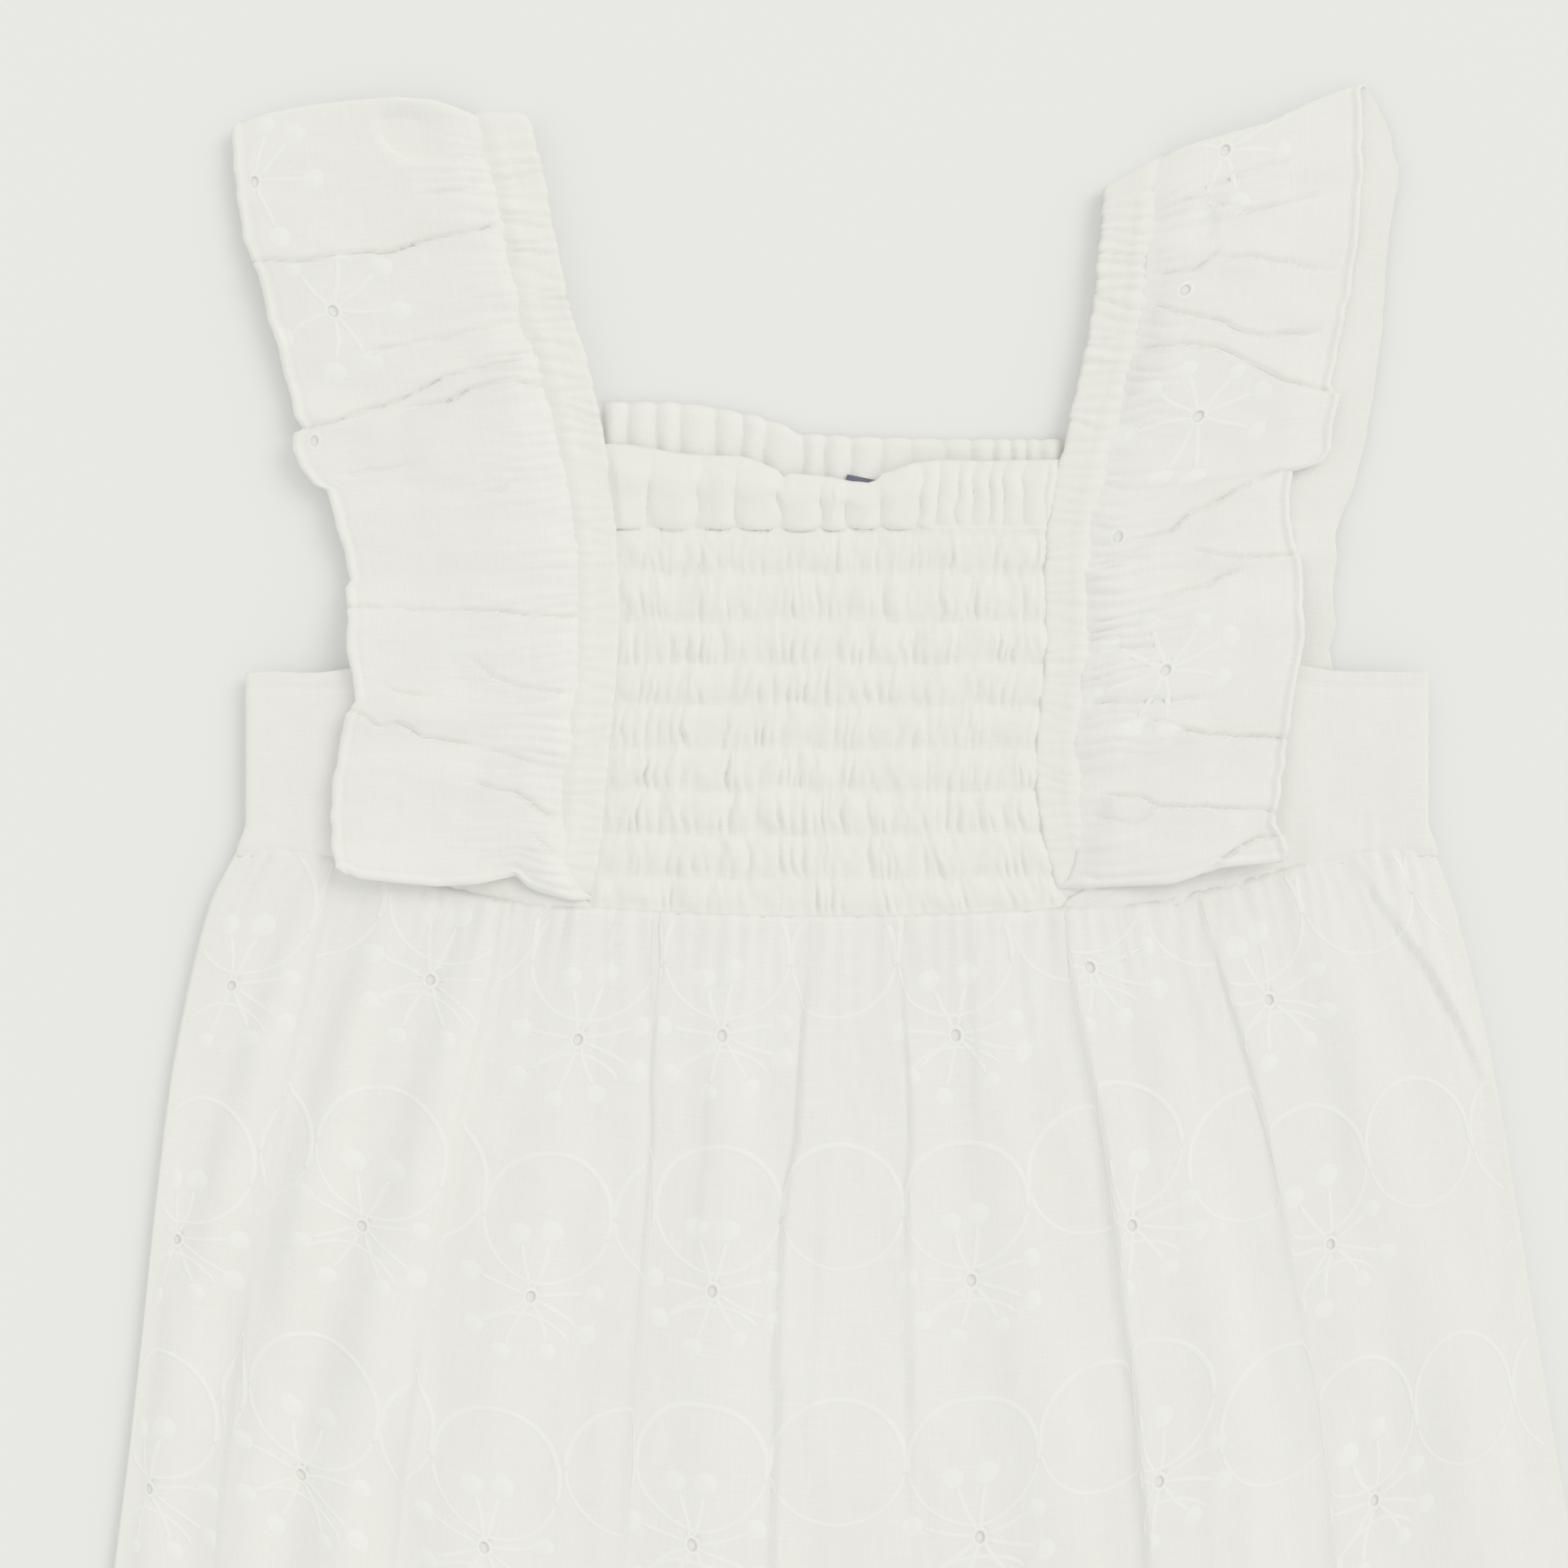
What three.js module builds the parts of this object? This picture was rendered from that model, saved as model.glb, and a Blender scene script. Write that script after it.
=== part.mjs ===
// A baby's romper of white broderie anglaise, laid flat on its back: a smocked front, a shirred
// back, elastic shoulder straps with wide ruffles, gathered side panels and a gathered body that
// ends in two elastic leg bands. Millimetres, +Z up, +Y towards the shoulders. Left and right
// are those of someone who looks down at the front.
import * as THREE from "three";

// Driving dimensions
const clothWall = 1.0; // one layer of cotton
const bandWall = 1.2; // cotton with elastic in it
const seamGap = 0.35; // space between a layer and the one that lies on it
const edgeGap = 0.6; // space between two pieces that are sewn edge to edge
const waistDip = 0.8; // the waist seam at the centre front, below the level of its zero
const waistRise = 12; // how much higher the waist seam is at the sides
const sideOut = { left: 117.3, right: 118.6 }; // side fold of the bodice, from the centre front
const armholeUp = 47; // armhole edge at the side, above the waist
const armholeRise = 12; // how much higher it is where it meets the strap
const frontTop = { middle: 88.2, slant: 3.0, over: 20 }; // top edge of the front frill
const smockTop = 76.5; // first row of smocking, above the waist
const smockRows = 9; // rows of elastic smocking on the front
const smockGathers = 26; // gathers across a smocking row
const frillPuffs = 9;
const bodiceLift = 2.4; // underside of the front bodice above the floor
const label = { left: 0.8, wide: 11.5, deep: 10, shows: 1.3, wall: 0.7 }; // inside the back neck
const strapShoulder = { left: 158.5, right: 147.0 }; // top of each strap
const strapWidth = { atWaist: 8.5, atShoulder: 10.5 };
const legOutUp = -196; // where the leg opening meets the side seam
const legInUp = -262; // where it meets the crotch
const crotchUp = -268;
const crotchHalf = 41; // half the width of the crotch
const crotchCorner = 14; // how soon the crotch turns up to each leg opening
const legCurve = 0.4; // 0 for a straight leg opening, 1 for a strong curve
const legBandWide = 9;

// Heights of the middle of each layer above the floor
const level = {
  backPanel: clothWall / 2,
  sideBack: clothWall + seamGap + clothWall / 2,
  sideFront: 2 * clothWall + seamGap + 0.55 + clothWall / 2,
  frontBody: clothWall + seamGap + clothWall / 2 + 0.1,
  strapBack: bandWall / 2,
  strapFront: 3.9,
  ruffleBack: clothWall / 2,
  ruffleFront: 5.3,
  legBack: bandWall / 2,
  legFront: 2.8,
};

// Neck-side edge of each strap: how far out from the centre front at each height.
const strapEdge = {
  left: [
    { up: 0, out: 48.8 },
    { up: 11, out: 46.5 },
    { up: 28, out: 44.9 },
    { up: 52, out: 42.8 },
    { up: 68, out: 42.8 },
    { up: 84, out: 44.1 },
    { up: 102, out: 47.3 },
    { up: 121, out: 52.6 },
    { up: 139, out: 56.4 },
    { up: 160, out: 60.8 },
  ],
  right: [
    { up: 0, out: 46.0 },
    { up: 12, out: 42.2 },
    { up: 28, out: 40.2 },
    { up: 52, out: 42.2 },
    { up: 66, out: 42.0 },
    { up: 80, out: 43.2 },
    { up: 94, out: 46.2 },
    { up: 107, out: 49.1 },
    { up: 120, out: 51.6 },
    { up: 148, out: 54.3 },
  ],
};

// Front of each ruffle, from the waist to the shoulder: the height on its seam, and the place
// of its hem. rise is the height of the hem above the cloth under it.
const ruffleFront = {
  left: [
    { seamUp: 1.5, hemOut: 97.2, hemUp: 6.2, rise: 3.4 },
    { seamUp: 16, hemOut: 99.5, hemUp: 16, rise: 2.2 },
    { seamUp: 32, hemOut: 98.3, hemUp: 31, rise: 1.2 },
    { seamUp: 50, hemOut: 96.4, hemUp: 47, rise: 1.0 },
    { seamUp: 70, hemOut: 97.5, hemUp: 67, rise: 1.2 },
    { seamUp: 88, hemOut: 101.2, hemUp: 84, rise: 1.6 },
    { seamUp: 101, hemOut: 107.6, hemUp: 95, rise: 2.4 },
    { seamUp: 116, hemOut: 111.6, hemUp: 109, rise: 1.6 },
    { seamUp: 132, hemOut: 115.8, hemUp: 127, rise: 1.0 },
    { seamUp: 146, hemOut: 118.3, hemUp: 142, rise: 0.6 },
    { seamUp: 157, hemOut: 119.2, hemUp: 155, rise: 0 },
  ],
  right: [
    { seamUp: 2.6, hemOut: 90.2, hemUp: 12.6, rise: 3.8 },
    { seamUp: 14, hemOut: 90.6, hemUp: 22, rise: 2.4 },
    { seamUp: 30, hemOut: 92.0, hemUp: 38, rise: 1.4 },
    { seamUp: 46, hemOut: 93.4, hemUp: 55, rise: 1.2 },
    { seamUp: 62, hemOut: 92.3, hemUp: 71, rise: 1.2 },
    { seamUp: 76, hemOut: 92.0, hemUp: 84, rise: 1.6 },
    { seamUp: 84, hemOut: 96.0, hemUp: 91, rise: 2.6 },
    { seamUp: 100, hemOut: 99.3, hemUp: 105, rise: 1.8 },
    { seamUp: 116, hemOut: 101.7, hemUp: 122, rise: 1.0 },
    { seamUp: 132, hemOut: 103.8, hemUp: 142, rise: 0.6 },
    { seamUp: 145.5, hemOut: 105.2, hemUp: 161.5, rise: 0 },
  ],
};

// Back of each ruffle, under the garment, from the waist to the shoulder.
const ruffleBack = {
  left: [
    { seamUp: 3, hemOut: 92, hemUp: 12 },
    { seamUp: 40, hemOut: 93.5, hemUp: 42 },
    { seamUp: 80, hemOut: 97.5, hemUp: 77 },
    { seamUp: 100, hemOut: 105.5, hemUp: 97 },
    { seamUp: 130, hemOut: 113, hemUp: 125 },
    { seamUp: 157, hemOut: 119.2, hemUp: 155 },
  ],
  right: [
    { seamUp: 3, hemOut: 91, hemUp: 12 },
    { seamUp: 36, hemOut: 94.4, hemUp: 45 },
    { seamUp: 60, hemOut: 99.6, hemUp: 64 },
    { seamUp: 80, hemOut: 105.8, hemUp: 84 },
    { seamUp: 100, hemOut: 109.8, hemUp: 104 },
    { seamUp: 120, hemOut: 112.3, hemUp: 130 },
    { seamUp: 133, hemOut: 111.6, hemUp: 148 },
    { seamUp: 145.5, hemOut: 105.2, hemUp: 161.5 },
  ],
};

// Overlapped pleats on the front of each ruffle. The cloth above the line lies on the cloth
// below it: lip is how far it stands up at the line, and fade how soon that dies away above.
const rufflePleats = {
  left: [
    { seamUp: 150, hemUp: 149, lip: 1.0, fade: 7 },
    { seamUp: 137, hemUp: 128, lip: 2.2, fade: 12 },
    { seamUp: 117, hemUp: 110, lip: 0.9, fade: 7 },
    { seamUp: 107, hemUp: 93, lip: 2.8, fade: 13 },
    { seamUp: 88, hemUp: 84, lip: 0.9, fade: 8 },
    { seamUp: 60, hemUp: 59.5, lip: 1.7, fade: 12 },
    { seamUp: 43, hemUp: 49, lip: 0.9, fade: 7 },
    { seamUp: 31, hemUp: 38, lip: 1.5, fade: 10 },
    { seamUp: 17, hemUp: 27, lip: 0.8, fade: 8 },
    { seamUp: 7, hemUp: 15, lip: 0.9, fade: 7 },
  ],
  right: [
    { seamUp: 137, hemUp: 150, lip: 0.9, fade: 7 },
    { seamUp: 129, hemUp: 136, lip: 0.8, fade: 7 },
    { seamUp: 119, hemUp: 114, lip: 1.3, fade: 9 },
    { seamUp: 113, hemUp: 102, lip: 2.4, fade: 12 },
    { seamUp: 90, hemUp: 88.5, lip: 1.2, fade: 8 },
    { seamUp: 70, hemUp: 79, lip: 1.0, fade: 8 },
    { seamUp: 56, hemUp: 66, lip: 1.0, fade: 8 },
    { seamUp: 35, hemUp: 34, lip: 1.9, fade: 11 },
    { seamUp: 20, hemUp: 21, lip: 2.0, fade: 9 },
    { seamUp: 9, hemUp: 16.5, lip: 0.8, fade: 5 },
  ],
};

const bodyWide = { left: 148.0, right: 152.8 }; // each side seam at the leg openings

// Outline of the body: how far out each side seam is at each height.
const bodyOutline = [
  { up: 12, left: 118.8, right: 119.6 },
  { up: 0, left: 124.8, right: 124.0 },
  { up: -29, left: 131.5, right: 131.2 },
  { up: -58, left: 135.3, right: 136.2 },
  { up: -86, left: 138.2, right: 140.6 },
  { up: -110, left: 140.9, right: 144.6 },
  { up: -132, left: 143.7, right: 148.2 },
  { up: -160, left: 146.6, right: 151.4 },
  { up: -180, left: 148.0, right: 152.8 },
  { up: -200, left: bodyWide.left, right: bodyWide.right },
  { up: -270, left: bodyWide.left, right: bodyWide.right },
];
const hemWide = bodyWide.left + bodyWide.right;

// Large folds of the front body: place of the crest at the waist and 130 mm lower, its height
// there, half its width, and which way it leans: towards -1, left, or 1, right.
const bodyFoldsLowAt = 130;
const bodyFolds = [
  { waist: -114, low: -133, height: 2.4, half: 10, lean: 0.2 },
  { waist: -97, low: -116, height: 2.2, half: 10, lean: 0.3 },
  { waist: -76, low: -95, height: 3.8, half: 12, lean: 0.6 },
  { waist: -59, low: -76, height: 2.2, half: 9, lean: 0.3 },
  { waist: -43, low: -55, height: 2.0, half: 10, lean: 0 },
  { waist: -26, low: -31, height: 2.2, half: 9, lean: 0.2 },
  { waist: -12, low: -16, height: 3.0, half: 9, lean: 0.7 },
  { waist: 5, low: 3, height: 2.6, half: 9, lean: 0.2 },
  { waist: 21, low: 25, height: 2.8, half: 9, lean: -0.6 },
  { waist: 38, low: 48, height: 2.4, half: 9, lean: 0.4 },
  { waist: 59, low: 72, height: 4.2, half: 12, lean: -0.7 },
  { waist: 81, low: 101, height: 3.4, half: 12, lean: -0.7 },
  { waist: 99, low: 122, height: 2.2, half: 9, lean: 0 },
  { waist: 113, low: 138, height: 2.6, half: 9, lean: 0.3 },
];

const cotton = new THREE.MeshStandardMaterial({ color: 0xeeeee8, roughness: 0.9, metalness: 0 });
const elasticCotton = new THREE.MeshStandardMaterial({
  color: 0xedece4,
  roughness: 0.92,
  metalness: 0,
});

const navyTape = new THREE.MeshStandardMaterial({ color: 0x2b2d4a, roughness: 0.7, metalness: 0 });

const sign = { left: -1, right: 1 };
const lerp = THREE.MathUtils.lerp;
const smooth = (from, to, x) => THREE.MathUtils.smoothstep((x - from) / (to - from), 0, 1);

// Value of one column of a table at a place along another, on a smooth curve through its rows.
function read(table, along, column, at) {
  const rising = table[1][along] > table[0][along];
  const rows = rising ? table : [...table].reverse();
  const last = rows.length - 1;
  const place = THREE.MathUtils.clamp(at, rows[0][along], rows[last][along]);
  let k = 0;
  while (k < last - 1 && place > rows[k + 1][along]) k += 1;
  const slope = (j) => {
    const before = rows[Math.max(j - 1, 0)];
    const after = rows[Math.min(j + 1, last)];
    return (after[column] - before[column]) / (after[along] - before[along]);
  };
  const width = rows[k + 1][along] - rows[k][along];
  const t = (place - rows[k][along]) / width;
  const t2 = t * t;
  const t3 = t2 * t;
  return (
    (2 * t3 - 3 * t2 + 1) * rows[k][column] +
    (t3 - 2 * t2 + t) * width * slope(k) +
    (3 * t2 - 2 * t3) * rows[k + 1][column] +
    (t3 - t2) * width * slope(k + 1)
  );
}

// Rows of points: pointAt(across, row) with across from 0 to 1.
function gridOf(columns, rows, pointAt) {
  return Array.from({ length: rows + 1 }, (_, j) =>
    Array.from({ length: columns + 1 }, (_, i) => pointAt(i / columns, j)),
  );
}

// Direction square to a grid of points at one of them, from its neighbours.
function squareTo(grid, j, i, loop) {
  const last = grid.length - 1;
  const before = loop ? grid[(j + last) % (last + 1)] : grid[Math.max(j - 1, 0)];
  const after = loop ? grid[(j + 1) % (last + 1)] : grid[Math.min(j + 1, last)];
  const along = new THREE.Vector3().subVectors(after[i], before[i]);
  const edge = grid[j].length - 1;
  const across = new THREE.Vector3().subVectors(
    grid[j][Math.min(i + 1, edge)],
    grid[j][Math.max(i - 1, 0)],
  );
  return across.cross(along).normalize();
}

// Closed wall between two skins of the same grid. With loop, its last row joins its first.
function wallBetween(upper, lower, loop = false) {
  const rows = upper.length;
  const columns = upper[0].length;
  const positions = [...upper.flat(), ...lower.flat()].flatMap((p) => [p.x, p.y, p.z]);
  const at = (skin, j, i) => skin * rows * columns + (j % rows) * columns + i;
  const faces = [];
  const quad = (a, b, c, d) => faces.push(a, b, c, a, c, d);
  const steps = loop ? rows : rows - 1;
  for (let j = 0; j < steps; j += 1) {
    for (let i = 0; i < columns - 1; i += 1) {
      quad(at(0, j, i), at(0, j, i + 1), at(0, j + 1, i + 1), at(0, j + 1, i));
      quad(at(1, j, i), at(1, j + 1, i), at(1, j + 1, i + 1), at(1, j, i + 1));
    }
    quad(at(0, j, 0), at(0, j + 1, 0), at(1, j + 1, 0), at(1, j, 0));
    const e = columns - 1;
    quad(at(0, j, e), at(1, j, e), at(1, j + 1, e), at(0, j + 1, e));
  }
  if (!loop) {
    for (let i = 0; i < columns - 1; i += 1) {
      const e = rows - 1;
      quad(at(0, 0, i), at(1, 0, i), at(1, 0, i + 1), at(0, 0, i + 1));
      quad(at(0, e, i), at(0, e, i + 1), at(1, e, i + 1), at(1, e, i));
    }
  }
  const geometry = new THREE.BufferGeometry();
  geometry.setAttribute("position", new THREE.Float32BufferAttribute(positions, 3));
  geometry.setIndex(faces);
  return facingOut(geometry);
}

// The same geometry with its faces turned round if they point inwards.
function facingOut(geometry) {
  const p = geometry.getAttribute("position");
  const index = geometry.getIndex().array;
  const corner = [0, 1, 2].map(() => new THREE.Vector3());
  let volume = 0;
  for (let k = 0; k < index.length; k += 3) {
    corner.forEach((c, n) => c.fromBufferAttribute(p, index[k + n]));
    volume += corner[0].dot(corner[1].clone().cross(corner[2]));
  }
  if (volume < 0) {
    for (let k = 0; k < index.length; k += 3) {
      [index[k + 1], index[k + 2]] = [index[k + 2], index[k + 1]];
    }
  }
  geometry.computeVertexNormals();
  return geometry;
}

// Wall of even thickness about a grid of points.
function wallAbout(grid, thickness, loop = false) {
  const skin = (side) =>
    grid.map((row, j) =>
      row.map((p, i) => p.clone().addScaledVector(squareTo(grid, j, i, loop), side * thickness)),
    );
  return wallBetween(skin(0.5), skin(-0.5), loop);
}

// Wall that follows a grid of heights, measured straight up, so that a flat panel keeps its edge.
function wallUnder(grid, thickness) {
  const shifted = (dz) => grid.map((row) => row.map((p) => new THREE.Vector3(p.x, p.y, p.z + dz)));
  return wallBetween(shifted(thickness / 2), shifted(-thickness / 2));
}

// Height of the waist seam at a place across the garment.
function waistUp(x) {
  return -waistDip + waistRise * smooth(50, 116, Math.abs(x));
}

// Height of the front's top edge, which slants down to the right.
function frontTopUp(x) {
  return frontTop.middle - frontTop.slant * Math.tanh(x / frontTop.over);
}

function strapInner(side, up) {
  return read(strapEdge[side], "up", "out", up);
}

function strapOuter(side, up) {
  const wide = lerp(strapWidth.atWaist, strapWidth.atShoulder, smooth(70, 120, up));
  return strapInner(side, up) + wide;
}

// Smocked front: puffs between rows of elastic, and a puffed frill above the first row.
function frontBodice() {
  const rowSteps = 2;
  const frillSteps = 3;
  const smockLines = smockRows * rowSteps;
  const columns = smockGathers * 2;
  const place = (across, j) => {
    const inSmock = j <= smockLines;
    const top = frontTopUp(lerp(-44, 44, across));
    const up = inSmock
      ? lerp(0, smockTop, j / smockLines)
      : lerp(smockTop, top, (j - smockLines) / frillSteps);
    const left = -strapInner("left", up) + edgeGap;
    const right = strapInner("right", up) - edgeGap;
    const x = lerp(left, right, across);
    const y = up + (waistUp(x) + seamGap) * (1 - smooth(0, smockTop / smockRows, up));
    return { x, y, up, inSmock };
  };
  const puff = (across, j, at) => {
    const edge = smooth(0, 0.02, across) * smooth(0, 0.02, 1 - across);
    if (at.inSmock) {
      const between = Math.abs(Math.sin((Math.PI * j) / rowSteps));
      const gather = 0.5 + 0.5 * Math.cos(2 * Math.PI * smockGathers * across);
      return edge * (0.25 + 1.1 * between * (0.25 + 0.75 * gather));
    }
    const frill = Math.sin((Math.PI * (j - smockLines)) / frillSteps);
    return edge * (0.5 + 2.0 * frill * Math.abs(Math.sin(Math.PI * frillPuffs * across)));
  };
  const upper = gridOf(columns, smockLines + frillSteps, (across, j) => {
    const at = place(across, j);
    return new THREE.Vector3(at.x, at.y, bodiceLift + clothWall + puff(across, j, at));
  });
  const lower = gridOf(columns, smockLines + frillSteps, (across, j) => {
    const at = place(across, j);
    return new THREE.Vector3(at.x, at.y, bodiceLift);
  });
  return wallBetween(upper, lower);
}

// Back neckline, which is a little higher than the front and slants down to the right.
function backNeckUp(x) {
  return 97.5 - 4.0 * Math.tanh(x / 22);
}

// Shirred back: flat under the front, and fluted above it where its inner face shows.
function backBodice() {
  const flutes = 11;
  const columns = flutes * 2;
  const coveredRows = 8;
  const rows = coveredRows + 3;
  const place = (across, j) => {
    const middle = lerp(-44, 44, across);
    const coveredTop = frontTopUp(middle) + 2.2;
    const up =
      j <= coveredRows
        ? lerp(waistUp(middle) + seamGap, coveredTop, j / coveredRows)
        : lerp(coveredTop, backNeckUp(middle), (j - coveredRows) / (rows - coveredRows));
    const left = -strapInner("left", up) + edgeGap;
    const right = strapInner("right", up) - edgeGap;
    return new THREE.Vector3(lerp(left, right, across), up, 0);
  };
  const lower = gridOf(columns, rows, place);
  const upper = gridOf(columns, rows, (across, j) => {
    const p = place(across, j);
    const shown = smooth(coveredRows, coveredRows + 2, j) * smooth(0, 0.04, across * (1 - across));
    p.z = clothWall + shown * (0.5 + 1.0 * Math.abs(Math.sin(Math.PI * flutes * across)));
    return p;
  });
  return wallBetween(upper, lower);
}

// Small plain label between the back and the front, with its top edge in the open neck.
function neckLabel() {
  const base = clothWall + seamGap;
  const corner = (across, j) => {
    const x = label.left + across * label.wide;
    const top = frontTopUp(label.left + label.wide / 2) + label.shows;
    return new THREE.Vector3(x, top - label.deep * (1 - j / 2), base + label.wall / 2);
  };
  return wallUnder(gridOf(2, 2, corner), label.wall);
}

// A strip that lies on the front, turns over the shoulder and runs down the back. front and
// back give a place and a height at a share of the way from the waist to the shoulder.
function overShoulder(columns, steps, front, back, turnTo) {
  const rows = steps.front + steps.turn + steps.back;
  return gridOf(columns, rows, (across, j) => {
    if (j <= steps.front) return front(across, j / steps.front);
    if (j >= steps.front + steps.turn) {
      return back(across, (rows - j) / steps.back);
    }
    const top = front(across, 1);
    const under = back(across, 1);
    const radius = (top.z - under.z) / 2;
    const angle = (Math.PI * (j - steps.front)) / steps.turn;
    return new THREE.Vector3(
      top.x + turnTo.x * radius * Math.sin(angle),
      top.y + turnTo.y * radius * Math.sin(angle),
      under.z + radius * (1 + Math.cos(angle)),
    );
  });
}

// Elastic shoulder strap, from the front waist over the shoulder to the back waist.
function strap(side) {
  const turnRadius = (level.strapFront - level.strapBack) / 2;
  const topUp = strapShoulder[side] - turnRadius - bandWall / 2;
  const gathers = 22;
  const plan = (across, share) => {
    const up = lerp(0.6 + waistUp(50), topUp, share);
    const out = lerp(strapInner(side, up), strapOuter(side, up) - edgeGap, across);
    return { x: sign[side] * out, y: up };
  };
  const front = (across, share) => {
    const p = plan(across, share);
    const gather = 0.35 * Math.sin(2 * Math.PI * gathers * share) * smooth(1, 0.94, share);
    return new THREE.Vector3(p.x, p.y, level.strapFront + gather);
  };
  const back = (across, share) => {
    const p = plan(across, share);
    return new THREE.Vector3(p.x, p.y, level.strapBack);
  };
  const steps = { front: gathers * 2, turn: 4, back: 16 };
  return wallAbout(overShoulder(2, steps, front, back, new THREE.Vector2(0, 1)), bandWall);
}

// How far the pleats of a ruffle stand above its base, at a place from seam to hem.
function pleatHeight(side, across, seamUp, hemUp) {
  const here = lerp(seamUp, hemUp, across);
  return rufflePleats[side].reduce((sum, pleat) => {
    const above = here - lerp(pleat.seamUp, pleat.hemUp, across);
    const step = smooth(-0.6, 0.6, above);
    return sum + pleat.lip * step * Math.exp(-Math.max(above, 0) / pleat.fade);
  }, 0);
}

// Shoulder ruffle: gathered on the strap's outer edge, pleated towards its hem.
function ruffle(side) {
  const table = { front: ruffleFront[side], back: ruffleBack[side] };
  const gathers = 16;
  const place = (rows, across, share) => {
    const last = rows.length - 1;
    const seamUp = lerp(rows[0].seamUp, rows[last].seamUp, share);
    const out = lerp(strapOuter(side, seamUp), read(rows, "seamUp", "hemOut", seamUp), across);
    const hemUp = read(rows, "seamUp", "hemUp", seamUp);
    const bulge = 3.4 * Math.sin(Math.PI * across) * smooth(0.8, 1, share);
    return { x: sign[side] * out, y: lerp(seamUp, hemUp, across) + bulge, seamUp, hemUp };
  };
  const front = (across, share) => {
    const p = place(table.front, across, share);
    const rise = read(table.front, "seamUp", "rise", p.seamUp) * across;
    const flat = smooth(1, 0.9, share);
    const open = smooth(0, 0.25, across);
    const gather = 0.5 + 0.5 * Math.sin(2 * Math.PI * gathers * share);
    const height =
      rise +
      flat * (0.5 * gather * (1 - 0.6 * across) + open * pleatHeight(side, across, p.seamUp, p.hemUp));
    const overWaist = 2.0 * smooth(22, 8, p.y);
    return new THREE.Vector3(p.x, p.y, level.ruffleFront + height + overWaist);
  };
  const back = (across, share) => {
    const p = place(table.back, across, share);
    return new THREE.Vector3(p.x, p.y, level.ruffleBack);
  };
  const steps = { front: 46, turn: 5, back: 12 };
  return wallAbout(overShoulder(5, steps, front, back, new THREE.Vector2(0, 1)), clothWall);
}

// Side panel: from the front ruffle's seam round the side fold to the back ruffle's seam.
function sidePanel(side) {
  const steps = { flat: 6, turn: 4 };
  const rows = 7;
  const radius = (level.sideFront - level.sideBack) / 2;
  const middle = (level.sideFront + level.sideBack) / 2;
  const foldOut = sideOut[side] - radius - clothWall / 2;
  const columns = steps.flat * 2 + steps.turn;
  const place = (out, share) => {
    const bottom = waistUp(out) + seamGap;
    const top = armholeUp + armholeRise * smooth(105, 55, out);
    return lerp(bottom, top, share);
  };
  return wallAbout(
    gridOf(columns, rows, (across, j) => {
      const share = j / rows;
      const column = Math.round(across * columns);
      const inner = strapOuter(side, lerp(waistUp(50), armholeUp + armholeRise, share)) + edgeGap;
      const onFront = column <= steps.flat;
      const onBack = column >= steps.flat + steps.turn;
      const flat = onFront ? column / steps.flat : (columns - column) / steps.flat;
      const out = onFront || onBack ? lerp(inner, foldOut, flat) : foldOut;
      const angle = (Math.PI * (column - steps.flat)) / steps.turn;
      const turned = onFront || onBack ? 0 : Math.sin(angle);
      const z = onFront ? level.sideFront : onBack ? level.sideBack : middle + radius * Math.cos(angle);
      return new THREE.Vector3(sign[side] * (out + radius * turned), place(out, share), z);
    }),
    clothWall,
  );
}

// Lower edge of the body at a share of the way from the left side seam to the right.
function hemUp(across) {
  const fromMiddle = Math.abs(across - 0.5) * hemWide;
  if (fromMiddle <= crotchHalf) {
    const corner = smooth(crotchHalf - crotchCorner, crotchHalf, fromMiddle);
    return lerp(crotchUp, legInUp, corner);
  }
  const straight = (fromMiddle - crotchHalf) / (hemWide / 2 - crotchHalf);
  const curved = smooth(0, 1, straight);
  return lerp(legInUp, legOutUp, lerp(straight, curved, legCurve));
}

// Place on the body, from the left seam to the right and from the hem to the waist.
function bodyPlace(across, share) {
  const guess = lerp(-120, 120, across);
  const y = lerp(hemUp(across), waistUp(guess), share);
  const left = -read(bodyOutline, "up", "left", y);
  const right = read(bodyOutline, "up", "right", y);
  return new THREE.Vector3(lerp(left, right, across), y, 0);
}

// Height of the large folds and small gathers of the front body above its base.
function bodyFoldHeight(across, share, p) {
  const below = waistUp(p.x) - p.y;
  const down = below / bodyFoldsLowAt;
  const open = lerp(0.35, 1, smooth(0, 45, below)) * lerp(0.55, 1, smooth(0, 0.18, share));
  const large = bodyFolds.reduce((sum, fold) => {
    const crest = lerp(fold.waist, fold.low, Math.min(down, 1.6));
    const half = fold.half * lerp(0.6, 1.1, smooth(0, 1, down));
    const lean = p.x > crest ? 1 - 0.45 * fold.lean : 1 + 0.45 * fold.lean;
    const away = Math.min(Math.abs(p.x - crest) / (half * lean), 1);
    return sum + fold.height * Math.cos((Math.PI * away) / 2) ** 2;
  }, 0);
  const gathers = 28;
  const wave = 0.5 + 0.5 * Math.cos(2 * Math.PI * gathers * across);
  const small = wave * (0.9 * Math.exp(-below / 22) + 1.0 * Math.exp((-share * 180) / 16));
  return open * large + small;
}

// Gathered front body, over the back body and sewn to the bodice at the waist.
function frontBody() {
  const rows = 13;
  return wallUnder(
    gridOf(56, rows, (across, j) => {
      const share = j / rows;
      const p = bodyPlace(across, share);
      p.y -= seamGap * smooth(0.85, 1, share);
      const edge = smooth(0, 0.05, across) * smooth(0, 0.05, 1 - across);
      const atSide = smooth(44, 60, Math.abs(p.x)) * smooth(30, 2, waistUp(p.x) - p.y);
      const lift = atSide * (level.sideFront - level.frontBody);
      p.z = level.frontBody + lift + edge * bodyFoldHeight(across, share, p);
      return p;
    }),
    clothWall,
  );
}

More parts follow.
